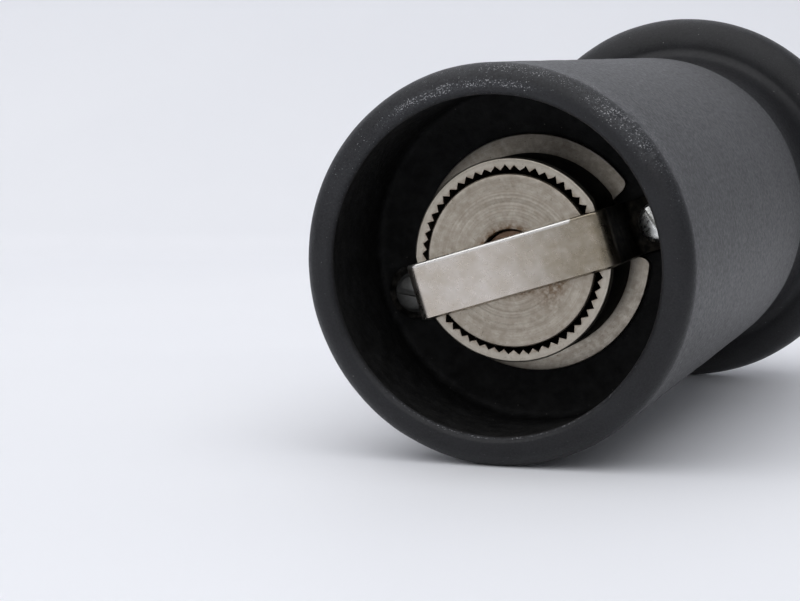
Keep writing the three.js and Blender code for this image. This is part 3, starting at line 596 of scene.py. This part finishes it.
def make_ring():
    """Toothed ring: teeth bite outwards from the bore, flats and notches leave room for the bridge."""
    rng = np.random.default_rng(SEED)
    teeth_depth = 1 + 0.14 * rng.standard_normal(RING_TEETH)
    face = RING_LOW.z
    top = RING_HIGH.z
    flange_top = FLOOR_Z - 0.05 * MM
    flange_low = flange_top - FLANGE_THICKNESS
    chamfer = 0.3 * MM
    steps_per_tooth = 12
    edge = 0.22 * MM
    bore_taper = 1.05 * MM
    bore_start = 15 * MM
    bore_end = face + 0.12 * MM
    collar = 13.4 * MM
    valley = TOOTH_TIP + TOOTH_DEPTH
    outline = []
    kinds = []

    def add(kind, radius, height):
        outline.append((radius, height))
        kinds.append(kind)

    for i in range(4):
        add("bore", TOOTH_TIP - bore_taper * (1 - i / 4), bore_start + (bore_end - bore_start) * i / 4)
    add("bore", TOOTH_TIP, face + 0.08 * MM)
    add("bore", TOOTH_TIP + 0.06 * MM, face)
    add("face", valley + 0.12 * MM, face)
    add("wall", 13.35 * MM, face)
    for point in arc((RING_RADIUS - chamfer, face + chamfer), chamfer, -90, 0, 4):
        add("wall", *point)
    for i in range(1, 9):
        add("wall", RING_RADIUS, face + chamfer + (flange_low - 0.15 * MM - face - chamfer) * i / 8)
    add("wall", RING_RADIUS, flange_low)
    for point in rounded_outside(FLANGE_RADIUS, flange_low, flange_top, edge):
        add("flange", *point)
    add("wall", collar, flange_top)
    add("wall", collar, top)
    add("plain", 12.3 * MM, top)
    add("plain", 12.2 * MM, 22 * MM)
    add("plain", TOOTH_TIP - bore_taper + 0.1 * MM, 18 * MM)

    def shape(row, angle, radius, height):
        kind = kinds[row]
        if kind == "bore":
            tooth = angle / math.tau * RING_TEETH
            bite = saw(tooth) * teeth_depth[int(tooth) % RING_TEETH]
            return radius + TOOTH_DEPTH * min(1.2, bite), height
        side = abs(math.cos(angle))
        flat = RING_FLAT / max(side, 0.2) if side > 0.93 else 1.0
        if kind == "wall":
            return min(radius, flat), height
        if kind == "flange":
            across = abs(radius * math.sin(angle))
            reach = min(1.0, max(0.0, (across - NOTCH_HALF_WIDTH) / (1.3 * MM))) if side > 0.6 else 1.0
            low = min(RING_RADIUS, flat)
            return low + (radius - low) * math.sqrt(1 - (1 - reach) ** 2), height
        return radius, height

    sides = RING_TEETH * steps_per_tooth
    ring = revolve("grinding_ring_piece", outline, sides, RING_STEEL, shape=shape, sharp=28)
    wall_end = flange_low - 0.1 * MM

    # Painted shade on the ring's outer wall, seen in the dark gap inside the flange, and painted shadow on
    # the flange's far side, under the recess wall.
    def grime_and_shade(point):
        outside = from_axis(point) > 13 * MM
        wall_shade = smooth((point.z - face - chamfer) / (0.8 * MM)) * outside * (point.z < wall_end)
        flange_shadow = 0.5 * near_angle(point, 305, 65) * (point.z > wall_end)
        return min(1.0, wall_shade + flange_shadow)

    def stain(point):
        in_bore = from_axis(point) < valley + 0.1 * MM
        return 0.75 * in_bore + 0.3 * (point.z > wall_end)

    paint_value(ring, "grime_and_shade", grime_and_shade)
    paint_value(ring, "stain", stain)
    place(ring, "body", "grinding_ring")


def cone_face_groove(radius):
    """Tool marks on the cone's face: shallow dishes and rings, deeper in a band half way out."""
    rings = 0.035 * MM * noise.noise(Vector((radius / (0.3 * MM), 3.1, SEED)))
    broad = 0.08 * MM * noise.noise(Vector((radius / (1.3 * MM), 8.7, SEED)))
    band = smooth(1 - abs(radius - 7.4 * MM) / (3.6 * MM))
    return (rings + broad) * (0.25 + 0.75 * band)


def make_cone():
    """Cone: grooved face, smooth rim, fine teeth behind it, spiral flutes on top, square hole."""
    face = CONE_LOW.z
    top = CONE_HIGH.z
    pocket_top = 10.5 * MM
    rim_top = 9.4 * MM
    fine_top = 15 * MM
    rim_edge = 0.28 * MM
    teeth = 48
    flutes = 8
    half_square = 2.55 * MM
    outline = []
    kinds = []

    def add(kind, radius, height):
        outline.append((radius, height))
        kinds.append(kind)

    bevel = 0.25 * MM
    for i in range(5):
        angle = math.radians(90 * i / 4)
        radius = POCKET_RADIUS + bevel * (1 - math.cos(angle))
        add("plain", radius, face + bevel * (1 - math.sin(angle)))
    steps = 84
    start = POCKET_RADIUS + bevel
    stop = CONE_RADIUS - rim_edge
    for i in range(1, steps):
        radius = start + (stop - start) * i / steps
        add("plain", radius, face + 0.03 * MM + cone_face_groove(radius))
    for point in arc((CONE_RADIUS - rim_edge, face + rim_edge), rim_edge, -90, 0, 6):
        add("plain", *point)
    add("plain", CONE_RADIUS, rim_top)
    add("teeth", 11.7 * MM, rim_top + 0.05 * MM)
    add("teeth", 11.15 * MM, 12 * MM)
    add("teeth", 10.6 * MM, fine_top)
    for i in range(5):
        height = fine_top + 0.1 * MM + (top - fine_top - 0.1 * MM) * i / 4
        add("flutes", (9.9 - 3.1 * i / 4) * MM, height)
    add("square", half_square, top)
    add("square", half_square, pocket_top)
    add("plain", POCKET_RADIUS, pocket_top)

    def shape(row, angle, radius, height):
        kind = kinds[row]
        turn = angle / math.tau
        if kind == "teeth":
            return radius - 0.6 * MM * saw(turn * teeth + 0.4 * (height - rim_top) / MM), height
        if kind == "flutes":
            return radius - 1.9 * MM * saw(turn * flutes + 0.11 * (height - fine_top) / MM), height
        if kind == "square":
            return squared(radius, angle), height
        return radius, height

    cone = revolve("grinding_cone_piece", outline, 384, CONE_STEEL, shape=shape)

    def stain(point):
        radius = from_axis(point)
        inner_fade = smooth((radius - 3 * MM) / (2 * MM))
        outer_fade = smooth((9.6 * MM - radius) / (2.5 * MM))
        brown = near_angle(point, 35, 50) * inner_fade * outer_fade
        around_hole = 0.9 * smooth(1 - (radius - POCKET_RADIUS) / (1.6 * MM))
        return min(1.0, 0.15 + brown + around_hole)

    paint_value(cone, "stain", stain)
    # Painted shade: the cone turns nearly black behind its face, on the teeth and flutes inside the ring.
    paint_value(cone, "grime_and_shade", lambda p: 0.8 * smooth((p.z - face - rim_edge) / (0.6 * MM)))
    place(cone, "spindle", "grinding_cone")


def bridge_stations():
    """Centre line of half the bridge, middle to foot: (x, z, normal x, normal z, half width)."""
    face = BRIDGE_LOW.z
    half_sheet = STRIP_THICKNESS / 2
    mid_radius = BEND_RADIUS - half_sheet
    foot_z = BRIDGE_HIGH.z - half_sheet
    bend_x = BRIDGE_HALF - BEND_RADIUS
    half_width = (BRIDGE_HIGH.y - BRIDGE_LOW.y) / 2
    foot_end = BRIDGE_HIGH.x
    foot_round = 3.6 * MM
    stations = []
    for i in range(37):
        stations.append((bend_x * i / 36, face + half_sheet, 0, -1, half_width))
    for i in range(1, 11):
        angle = math.radians(-90 + 90 * i / 10)
        out = (math.cos(angle), math.sin(angle))
        stations.append((
            bend_x + mid_radius * out[0], face + BEND_RADIUS + mid_radius * out[1], *out, half_width,
        ))
    leg_x = BRIDGE_HALF - half_sheet
    leg_low = face + BEND_RADIUS
    leg_high = foot_z - mid_radius
    for i in range(1, 13):
        stations.append((leg_x, leg_low + (leg_high - leg_low) * i / 12, 1, 0, half_width))
    for i in range(1, 9):
        angle = math.radians(180 - 90 * i / 8)
        inward = (math.cos(angle), math.sin(angle))
        stations.append((
            leg_x + mid_radius * (1 + inward[0]), leg_high + mid_radius * inward[1],
            -inward[0], -inward[1], half_width,
        ))
    foot_start = stations[-1][0]
    round_start = foot_end - foot_round
    for i in range(1, 5):
        stations.append((foot_start + (round_start - foot_start) * i / 4, foot_z, 0, -1, half_width))
    for i in range(1, 15):
        angle = math.radians(90 * i / 14.4)
        stations.append((
            round_start + foot_round * math.sin(angle), foot_z, 0, -1, half_width * math.cos(angle),
        ))
    return stations


def strip_section(half_width, half_sheet):
    """Rounded-edge section of the strip: (across, out from the centre line)."""
    edge = min(0.34 * MM, half_width * 0.5)
    across_steps = 24
    section = []
    for side in (1, -1):
        for i in range(across_steps + 1):
            share = 1 - 2 * i / across_steps
            section.append((side * share * (half_width - edge), side * half_sheet))
        for k in range(1, 4):
            angle = math.radians(90 * k / 4)
            section.append((
                -side * (half_width - edge + edge * math.sin(angle)),
                side * (half_sheet - edge * (1 - math.cos(angle))),
            ))
    return section


def make_bridge():
    half = bridge_stations()
    mirrored = [(-x, z, -nx, nz, w) for x, z, nx, nz, w in reversed(half[1:])]
    verts = []
    faces = []
    for x, z, nx, nz, half_width in mirrored + half:
        for across, out in strip_section(half_width, STRIP_THICKNESS / 2):
            verts.append((x + nx * out, BRIDGE_Y + across, z + nz * out))
    count = len(strip_section(1 * MM, STRIP_THICKNESS / 2))
    stations = len(verts) // count
    for s in range(stations - 1):
        for i in range(count):
            j = (i + 1) % count
            faces.append((s * count + i, s * count + j, (s + 1) * count + j, (s + 1) * count + i))
    faces.append(tuple(reversed(range(count))))
    faces.append(tuple(range((stations - 1) * count, stations * count)))
    bridge = finish_piece("bridge_piece", verts, faces, STRIP_STEEL)

    def dents(point):
        return noise.noise(point / (3.5 * MM)) * 0.03 * MM + noise.noise(point / (1.1 * MM)) * 0.008 * MM

    push(bridge, dents)
    leg_start = BRIDGE_LOW.z + 0.4 * BEND_RADIUS
    edge_y = BRIDGE_LOW.y + 0.15 * MM

    # Painted highlight along the upper edge of the strip, on its left part.
    def edge_highlight(point):
        return 0.9 * smooth(1.6 - 1.6 * abs(point.y - edge_y) / (0.4 * MM)) * (point.x < 10 * MM)

    # Painted shade on the legs and feet, from the bends down, where they sit in shadow inside the recess.
    paint_value(bridge, "grime_and_shade", lambda p: smooth((p.z - leg_start) / (2 * MM)))
    # Tarnish and painted shade, growing towards the right end of the strip.
    paint_value(bridge, "tarnish_and_shade", lambda p: 0.85 * smooth((p.x + 5 * MM) / (17 * MM)))
    paint_value(bridge, "edge_highlight", edge_highlight)
    place(bridge, "body", "bridge")


def cut(piece, cutter):
    """Takes the cutter's shape out of the piece and deletes the cutter."""
    boolean = piece.modifiers.new("cut", "BOOLEAN")
    boolean.object = cutter
    boolean.operation = "DIFFERENCE"
    boolean.solver = "EXACT"
    apply_modifiers(piece)
    bpy.data.objects.remove(cutter)


def box_mesh(name, low, high, material):
    xs, ys, zs = zip(low, high)
    corners = [(x, y, z) for z in zs for y in ys for x in xs]
    faces = [(0, 2, 3, 1), (4, 5, 7, 6), (0, 1, 5, 4), (2, 6, 7, 3), (0, 4, 6, 2), (1, 3, 7, 5)]
    return finish_piece(name, corners, faces, material)


def slotted_screw(name, node, body, slot_angle, material, scale=1.0):
    """Round-head screw under a seat: domed head with a slot, shank going up into the part."""
    low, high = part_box(node)
    centre_x = (low.x + high.x) / 2
    centre_y = (low.y + high.y) / 2
    radius = (high.x - low.x) / 2
    depth = SCREW_HEIGHT * scale
    seat = low.z + depth
    brim = 0.2 * depth
    brim_edge = 0.12 * MM
    crown = radius * 0.88
    shank = 1.3 * MM * scale
    slot_half = 0.4 * MM * scale
    length = high.z - seat
    outline = [(0.0, -depth)]
    shoulder = (crown * 0.96, -0.72 * depth)
    outline += curve(outline[0], (crown * 0.5, -depth), (crown * 0.85, -0.9 * depth), shoulder, 12)
    outline += curve(outline[-1], (crown, -0.64 * depth), (crown, -0.5 * depth), (crown, -0.4 * depth), 4)
    outline += curve(outline[-1], (crown, -0.3 * depth), (radius * 0.94, -0.3 * depth), (radius, -brim), 5)
    outline += arc((radius - brim_edge, -brim_edge), brim_edge, 0, 90, 3)
    outline += [(shank, 0.0), (shank, length - shank), (0.0, length)]
    screw = revolve(name, outline, 96, material, closed=False)
    push(screw, lambda p: noise.noise(p / (0.9 * MM)) * 0.03 * MM * (p.z < 0))
    slot_low = (-radius * 2, -slot_half, -depth * 2)
    slot_high = (radius * 2, slot_half, -depth * 0.45)
    cut(screw, box_mesh("slot", slot_low, slot_high, material))
    bevel = screw.modifiers.new("soften", "BEVEL")
    bevel.width = 0.06 * MM
    bevel.segments = 2
    bevel.limit_method = "ANGLE"
    apply_modifiers(screw)
    screw.data.shade_smooth()
    screw.data.set_sharp_from_angle(angle=math.radians(40))
    place_at = Matrix.Translation((centre_x, centre_y, seat)) @ Matrix.Rotation(slot_angle, 4, "Z")
    screw.data.transform(place_at)
    place(screw, body, node)


def make_cone_washer():
    """Washer round the shaft's riveted end, at the bottom of the cone's pocket."""
    stub = 1.95 * MM
    edge = 0.15 * MM
    low, high = WASHER_LOW, WASHER_HIGH
    outer = high.x
    outline = [(stub, low.z), (outer - edge, low.z)]
    outline += rounded_outside(outer, low.z, high.z, edge)
    outline += [(stub, high.z)]
    washer = revolve("cone_washer_piece", outline, 96, RIVET_STEEL)
    place(washer, "spindle", "cone_washer")


def make_shaft():
    """Square bar with eased corners, a hammered rivet end below and a real thread on top."""
    low = SHAFT_LOW.z
    top = SHAFT_HIGH.z
    half_square = 2.5 * MM
    stub = 1.9 * MM
    rivet = 2.7 * MM
    rivet_top = WASHER_LOW.z - 0.02 * MM
    square_low = 10.5 * MM
    thread_low = 118 * MM
    pitch = 0.8 * MM
    outline = [(0.0, low)]
    kinds = ["round"]

    def add(kind, points):
        for point in points:
            outline.append(point)
            kinds.append(kind)

    rivet_side = (rivet, rivet_top - 0.08 * MM)
    add("round", curve((0.0, low), (rivet * 0.6, low), (rivet, low + 0.1 * MM), rivet_side, 8))
    add("round", [(rivet - 0.1 * MM, rivet_top), (stub, rivet_top), (stub, square_low)])
    add("square", [(half_square, square_low), (half_square, 60 * MM), (half_square, thread_low)])
    add("round", [(2.45 * MM, thread_low)])
    thread_rows = 144
    thread_end = top - 0.8 * MM
    for i in range(1, thread_rows + 1):
        add("thread", [(half_square, thread_low + (thread_end - thread_low) * i / thread_rows)])
    add("round", [(half_square - 0.8 * MM, top), (0.0, top)])

    def shape(row, angle, radius, height):
        kind = kinds[row]
        if kind == "square":
            eased = max(abs(math.cos(angle)), abs(math.sin(angle)), 1 / 1.36)
            return radius / eased, height
        if kind == "thread":
            return radius - 0.45 * MM * saw(height / pitch - angle / math.tau), height
        return radius, height

    shaft = revolve("drive_shaft_piece", outline, 96, SHAFT_STEEL, closed=False, shape=shape, sharp=30)
    place(shaft, "spindle", "drive_shaft")


def make_spring():
    """Round-wire coil spring with closed ends."""
    low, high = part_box("cone_spring")
    wire = 0.4 * MM
    coil = high.x - 0.45 * MM
    turns = 5
    steps_per_turn = 32
    sides = 12
    closed_pitch = 0.95
    open_pitch = 2.5
    steps = turns * steps_per_turn
    climb = [0.0]
    for i in range(steps):
        turn = (i + 0.5) / steps_per_turn
        opened = smooth((turn - 0.7) / 0.6) * smooth((turns - 0.7 - turn) / 0.6)
        climb.append(climb[-1] + closed_pitch + (open_pitch - closed_pitch) * opened)
    length = high.z - low.z - 2 * wire
    verts = []
    faces = []
    for i, height in enumerate(climb):
        angle = math.tau * i / steps_per_turn
        z = low.z + wire + length * height / climb[-1]
        for k in range(sides):
            round_wire = math.tau * k / sides
            reach = coil + wire * math.cos(round_wire)
            lift = wire * math.sin(round_wire)
            verts.append((reach * math.cos(angle), reach * math.sin(angle), z + lift))
    for i in range(steps):
        for k in range(sides):
            j = (k + 1) % sides
            faces.append((i * sides + k, (i + 1) * sides + k, (i + 1) * sides + j, i * sides + j))
    faces.append(tuple(range(sides)))
    faces.append(tuple(reversed(range(steps * sides, (steps + 1) * sides))))
    spring = finish_piece("cone_spring_piece", verts, faces, SHAFT_STEEL, sharp=50)
    place(spring, "spindle", "cone_spring")
    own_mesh(spring)


# ---- Head ----

BEAD_RADIUS = 5 * MM
BEAD_Z = 113.8 * MM
BEAD_END = 32
CORE_RADIUS = 19 * MM


def head_outline():
    bead = (HEAD_RADIUS - BEAD_RADIUS, BEAD_Z)
    neck = 23.6 * MM
    bottom = HEAD_LOW.z
    top = HEAD_HIGH.z
    edge = 0.8 * MM
    seat = 9 * MM
    thread = 2.9 * MM
    inside_top = 121.5 * MM
    points = [(CORE_RADIUS, bottom)]
    line_to(points, (neck - edge, bottom), 4)
    points += arc((neck - edge, bottom + edge), edge, -90, 0, 6)[1:]
    points += curve(
        points[-1], (neck, BEAD_Z - 2 * BEAD_RADIUS), (neck + 1 * MM, BEAD_Z - BEAD_RADIUS),
        (bead[0], BEAD_Z - BEAD_RADIUS), 44,
    )
    points += arc(bead, BEAD_RADIUS, -90, BEAD_END, 26)[1:]
    start = points[-1]
    rise = top - start[1]
    control = (start[0] - rise * math.tan(math.radians(BEAD_END)), top)
    first = tuple(start[k] + (control[k] - start[k]) * 2 / 3 for k in (0, 1))
    second = tuple((seat, top)[k] + (control[k] - (seat, top)[k]) * 2 / 3 for k in (0, 1))
    points += curve(start, first, second, (seat, top), 56)
    line_to(points, (thread, top), 6)
    line_to(points, (thread, inside_top), 4)
    line_to(points, (9 * MM, inside_top), 2)
    line_to(points, (CORE_RADIUS, 111.5 * MM), 4)
    line_to(points, (CORE_RADIUS, bottom), 8)
    return points[:-1]


def make_head():
    head = revolve("head_casting_piece", head_outline(), 320, PAINT)
    push(head, lambda p: noise.noise(p / (8 * MM)) * 0.05 * MM + noise.noise(p / (1.8 * MM)) * 0.01 * MM)
    paint_value(head, "wear_and_sheen", lambda p: 0.16 * smooth(1 - abs(p.z - BEAD_Z) / (4 * MM)))
    place(head, "head", "head_casting")


def plain_ring(name, node, body, material, inner, edge):
    """A ring with rounded edges that fills its node's box."""
    low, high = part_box(node)
    outer = high.x
    corners = (
        ((outer - edge, low.z + edge), -90), ((outer - edge, high.z - edge), 0),
        ((inner + edge, high.z - edge), 90), ((inner + edge, low.z + edge), 180),
    )
    outline = []
    for centre, start in corners:
        outline += arc(centre, edge, start, start + 90, 4)
    sides = 128
    ring = revolve(name, outline, sides, material)
    place(ring, body, node)


def make_core():
    """Plastic hub inside the head, with the spigot that turns in the body's mouth."""
    low = CORE_LOW.z
    top = CORE_HIGH.z
    spigot = 14.9 * MM
    bore = 3.75 * MM
    shoulder = HEAD_LOW.z + 0.2 * MM
    outer = CORE_HIGH.x
    outline = [(bore, low), (spigot - 0.8 * MM, low)]
    outline += arc((spigot - 0.6 * MM, low + 0.6 * MM), 0.6 * MM, -80, 0, 4)
    outline += [(spigot, shoulder), (outer - 0.3 * MM, shoulder), (outer, shoulder + 0.3 * MM)]
    outline += [(outer, 111.3 * MM), (8.8 * MM, top), (bore, top)]
    core = revolve("head_core_piece", outline, 160, WHITE_PLASTIC)
    place(core, "head", "head_core")


def make_driver_plate():
    """Steel plate with a square hole that fits the shaft."""
    low, high = DRIVER_LOW, DRIVER_HIGH
    outer = high.x
    half_square = 2.55 * MM
    edge = 0.2 * MM
    outline = [(half_square, low.z), (half_square + 2 * MM, low.z)]
    outline += rounded_outside(outer, low.z, high.z, edge)
    outline += [(half_square + 2 * MM, high.z), (half_square, high.z)]
    last = len(outline) - 1

    def shape(row, angle, radius, height):
        if row in (0, last):
            return squared(radius, angle), height
        return radius, height

    plate = revolve("driver_plate_piece", outline, 160, STRIP_STEEL, shape=shape)
    place(plate, "head", "driver_plate")


def make_nut():
    """Knurled cap nut: waisted skirt, straight knurl, domed top."""
    low, high = NUT_LOW, NUT_HIGH
    radius = high.x
    waist = radius - 1.2 * MM
    bore = 2.6 * MM
    knurls = 60
    bore_top = 138.6 * MM
    outline = [(0.0, bore_top), (bore, bore_top), (bore, low.z), (waist - 0.2 * MM, low.z)]
    outline += arc((waist - 0.2 * MM, low.z + 0.2 * MM), 0.2 * MM, -90, 0, 3)[1:]
    outline += [(waist, low.z + 0.8 * MM)]
    knurl_start = len(outline)
    band_low = low.z + 1.3 * MM
    band_high = high.z - 2.7 * MM
    outline += [(radius - 0.45 * MM, band_low - 0.2 * MM), (radius, band_low + 0.2 * MM)]
    line_to(outline, (radius, band_high - 0.2 * MM), 4)
    knurl_end = len(outline)
    outline += [(radius - 0.45 * MM, band_high + 0.2 * MM)]
    start = outline[-1]
    outline += curve(start, (radius - 0.7 * MM, high.z - 1 * MM), (radius * 0.55, high.z), (0.0, high.z), 16)

    def shape(row, angle, r, z):
        if knurl_start < row < knurl_end:
            return r - 0.42 * MM * (1 - saw(angle / math.tau * knurls)), z
        return r, z

    nut = revolve("adjusting_nut_piece", outline, knurls * 6, NUT_STEEL, closed=False, shape=shape)
    place(nut, "nut", "adjusting_nut")


# ---- Pieces ----

make_body()
make_ring()
make_cone()
make_bridge()
make_cone_washer()
make_shaft()
make_spring()
# The left screw takes the shaded copy of the steel: painted shade.
slotted_screw("bridge_screw_left_piece", "bridge_screw_left", "body", math.radians(25), SHADED_SCREW_STEEL)
slotted_screw("bridge_screw_right_piece", "bridge_screw_right", "body", math.radians(70), SCREW_STEEL)
plain_ring("neck_bushing_piece", "neck_bushing", "body", WHITE_PLASTIC, 15 * MM, 0.3 * MM)
plain_ring("slip_ring_piece", "slip_ring", "slip_ring", DARK_PLASTIC, 15.3 * MM, 0.2 * MM)
make_head()
make_core()
make_driver_plate()
for number in (1, 2, 3):
    node = f"driver_plate_screw_{number}"
    slot_angle = math.radians(120 * (number - 1) + 29)
    slotted_screw(f"{node}_piece", node, "head", slot_angle, SCREW_STEEL, 0.7)
plain_ring("nut_washer_piece", "nut_washer", "head", NUT_STEEL, 2.7 * MM, 0.15 * MM)
make_nut()
for node in ("shaft_guide", "spring_washer"):
    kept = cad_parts[node]
    kept.data.materials.clear()
    kept.data.materials.append(SHAFT_STEEL)

# ---- View: the mill lies on its side, base towards the camera ----

AXIS_TURN = math.radians(20.45)
AXIS_TIP = math.radians(7.13)
BRIDGE_ROLL = math.radians(-15)
BASE_IN_VIEW = Vector((12.0, -4.30, 290.19)) * MM
LENS = 99.0
SENSOR = 36.0


def view_to_mill():
    """Turns a vector of the view (right, down, forward) into the mill's frame."""
    axis = Vector((
        math.sin(AXIS_TURN) * math.cos(AXIS_TIP),
        -math.sin(AXIS_TIP),
        math.cos(AXIS_TURN) * math.cos(AXIS_TIP),
    ))
    across = Vector((axis.z, 0, -axis.x)).normalized()
    down = axis.cross(across)
    mill_x = across * math.cos(BRIDGE_ROLL) + down * math.sin(BRIDGE_ROLL)
    mill_y = down * math.cos(BRIDGE_ROLL) - across * math.sin(BRIDGE_ROLL)
    return Matrix((mill_x, mill_y, axis))


TO_MILL = view_to_mill()
RIGHT = TO_MILL @ Vector((1, 0, 0))
UP = TO_MILL @ Vector((0, -1, 0))
BACK = TO_MILL @ Vector((0, 0, -1))
EYE = TO_MILL @ -BASE_IN_VIEW


def frame_from(right, up, back, origin):
    turn = Matrix((right, up, back)).transposed().to_4x4()
    return Matrix.Translation(origin) @ turn


def make_camera():
    data = bpy.data.cameras.new("camera")
    data.lens = LENS
    data.sensor_width = SENSOR
    data.clip_start = 0.01
    camera = bpy.data.objects.new("camera", data)
    camera.matrix_world = frame_from(RIGHT, UP, BACK, EYE)
    bpy.context.scene.collection.objects.link(camera)
    bpy.context.scene.camera = camera


def table_frame():
    """Table that the lying mill touches at its rim and head: a point of it and its up direction."""
    low_contact = (RIM_RADIUS, RIM_ROUND)
    high_contact = (HEAD_RADIUS, BEAD_Z)
    lean = math.atan2(high_contact[0] - low_contact[0], high_contact[1] - low_contact[1])
    level = math.atan2(RIGHT.y, RIGHT.x)
    reach = math.hypot(RIGHT.x, RIGHT.y)
    side = level + math.acos(math.tan(lean) * RIGHT.z / reach)
    outward = Vector((math.cos(side), math.sin(side), 0))
    up = Vector((0, 0, 1)) * math.sin(lean) - outward * math.cos(lean)
    point = outward * low_contact[0] + Vector((0, 0, low_contact[1]))
    return point, up


def stage_material():
    """Pale matt surface, seen from its front only, so that other views can look past it."""
    s = Shader("stage_white", Roughness=0.6, Specular_IOR_Level=0.2)
    tint = s.blend(s.band(s.noise(0.12, 2), 0.3, 0.7), (0.86, 0.867, 0.895), (0.84, 0.848, 0.88))
    s.done(tint)
    clear = s.node("ShaderNodeBsdfTransparent")
    choose = s.node("ShaderNodeMixShader")
    s.link(s.node("ShaderNodeNewGeometry").outputs["Backfacing"], choose.inputs[0])
    s.link(s.bsdf.outputs[0], choose.inputs[1])
    s.link(clear.outputs[0], choose.inputs[2])
    s.link(choose.outputs[0], s.tree.nodes["Material Output"].inputs["Surface"])
    return s.material


def make_stage():
    """Table that sweeps up into a wall behind the mill. Returns its up, forward and side directions."""
    point, up = table_frame()
    forward = (-BACK - up * (-BACK).dot(up)).normalized()
    side = forward.cross(up)
    eye_on_table = EYE - up * (EYE - point).dot(up)
    near = -0.6
    far = 0.72
    sweep = 0.12
    wall = 1.6
    half_width = 1.6
    rail = [(near + (far - near) * i / 8, 0.0) for i in range(9)]
    for i in range(1, 25):
        angle = math.radians(90 * i / 24)
        rail.append((far + sweep * math.sin(angle), sweep * (1 - math.cos(angle))))
    rail.append((far + sweep, wall))
    verts = []
    faces = []
    for distance, height in rail:
        for reach in (-half_width, half_width):
            verts.append(eye_on_table + forward * distance + up * height + side * reach)
    for i in range(len(rail) - 1):
        faces.append((2 * i, 2 * i + 1, 2 * i + 3, 2 * i + 2))
    stage = finish_piece("stage", verts, faces, stage_material(), sharp=80)
    stage.visible_shadow = False
    return up, forward, side


def area_light(name, offset, size, power, colour, target):
    """Soft square light at an offset from the target, facing it."""
    data = bpy.data.lights.new(name, "AREA")
    data.size = size
    data.energy = power
    data.color = colour
    light = bpy.data.objects.new(name, data)
    back = offset.normalized()
    facing = back.to_track_quat("Z", "Y").to_matrix().to_4x4()
    light.matrix_world = Matrix.Translation(target + offset) @ facing
    bpy.context.scene.collection.objects.link(light)


def make_world():
    """Soft even light from all round, pale where the camera sees it past the stage."""
    world = bpy.data.worlds.new("studio")
    world.use_nodes = True
    tree = world.node_tree
    light = tree.nodes["Background"]
    light.inputs["Color"].default_value = (0.93, 0.95, 1.0, 1)
    light.inputs["Strength"].default_value = 0.31
    seen = tree.nodes.new("ShaderNodeBackground")
    seen.inputs["Color"].default_value = (0.93, 0.95, 1.0, 1)
    seen.inputs["Strength"].default_value = 0.8
    choose = tree.nodes.new("ShaderNodeMixShader")
    tree.links.new(tree.nodes.new("ShaderNodeLightPath").outputs["Is Camera Ray"], choose.inputs[0])
    tree.links.new(light.outputs[0], choose.inputs[1])
    tree.links.new(seen.outputs[0], choose.inputs[2])
    tree.links.new(choose.outputs[0], tree.nodes["World Output"].inputs["Surface"])
    bpy.context.scene.world = world


make_camera()
table_up, table_forward, table_side = make_stage()
middle = Vector((0, 0, 40 * MM))
overhead = table_up * 0.65 - table_forward * 0.3 - table_side * 0.15
area_light("overhead", overhead, 1.5, 8.6, (0.98, 0.985, 1.0), middle)
over_wall = table_up * 0.6 + table_forward * 0.35
area_light("wall_wash", over_wall, 0.6, 0.5, (1.0, 0.96, 0.9), middle + table_forward * 0.3)
under_table = -table_up * 0.6 + table_forward * 0.05
area_light("behind_table", under_table, 0.5, 0.4, (0.95, 0.97, 1.0), middle)
make_world()
bpy.context.scene.view_settings.view_transform = "Standard"
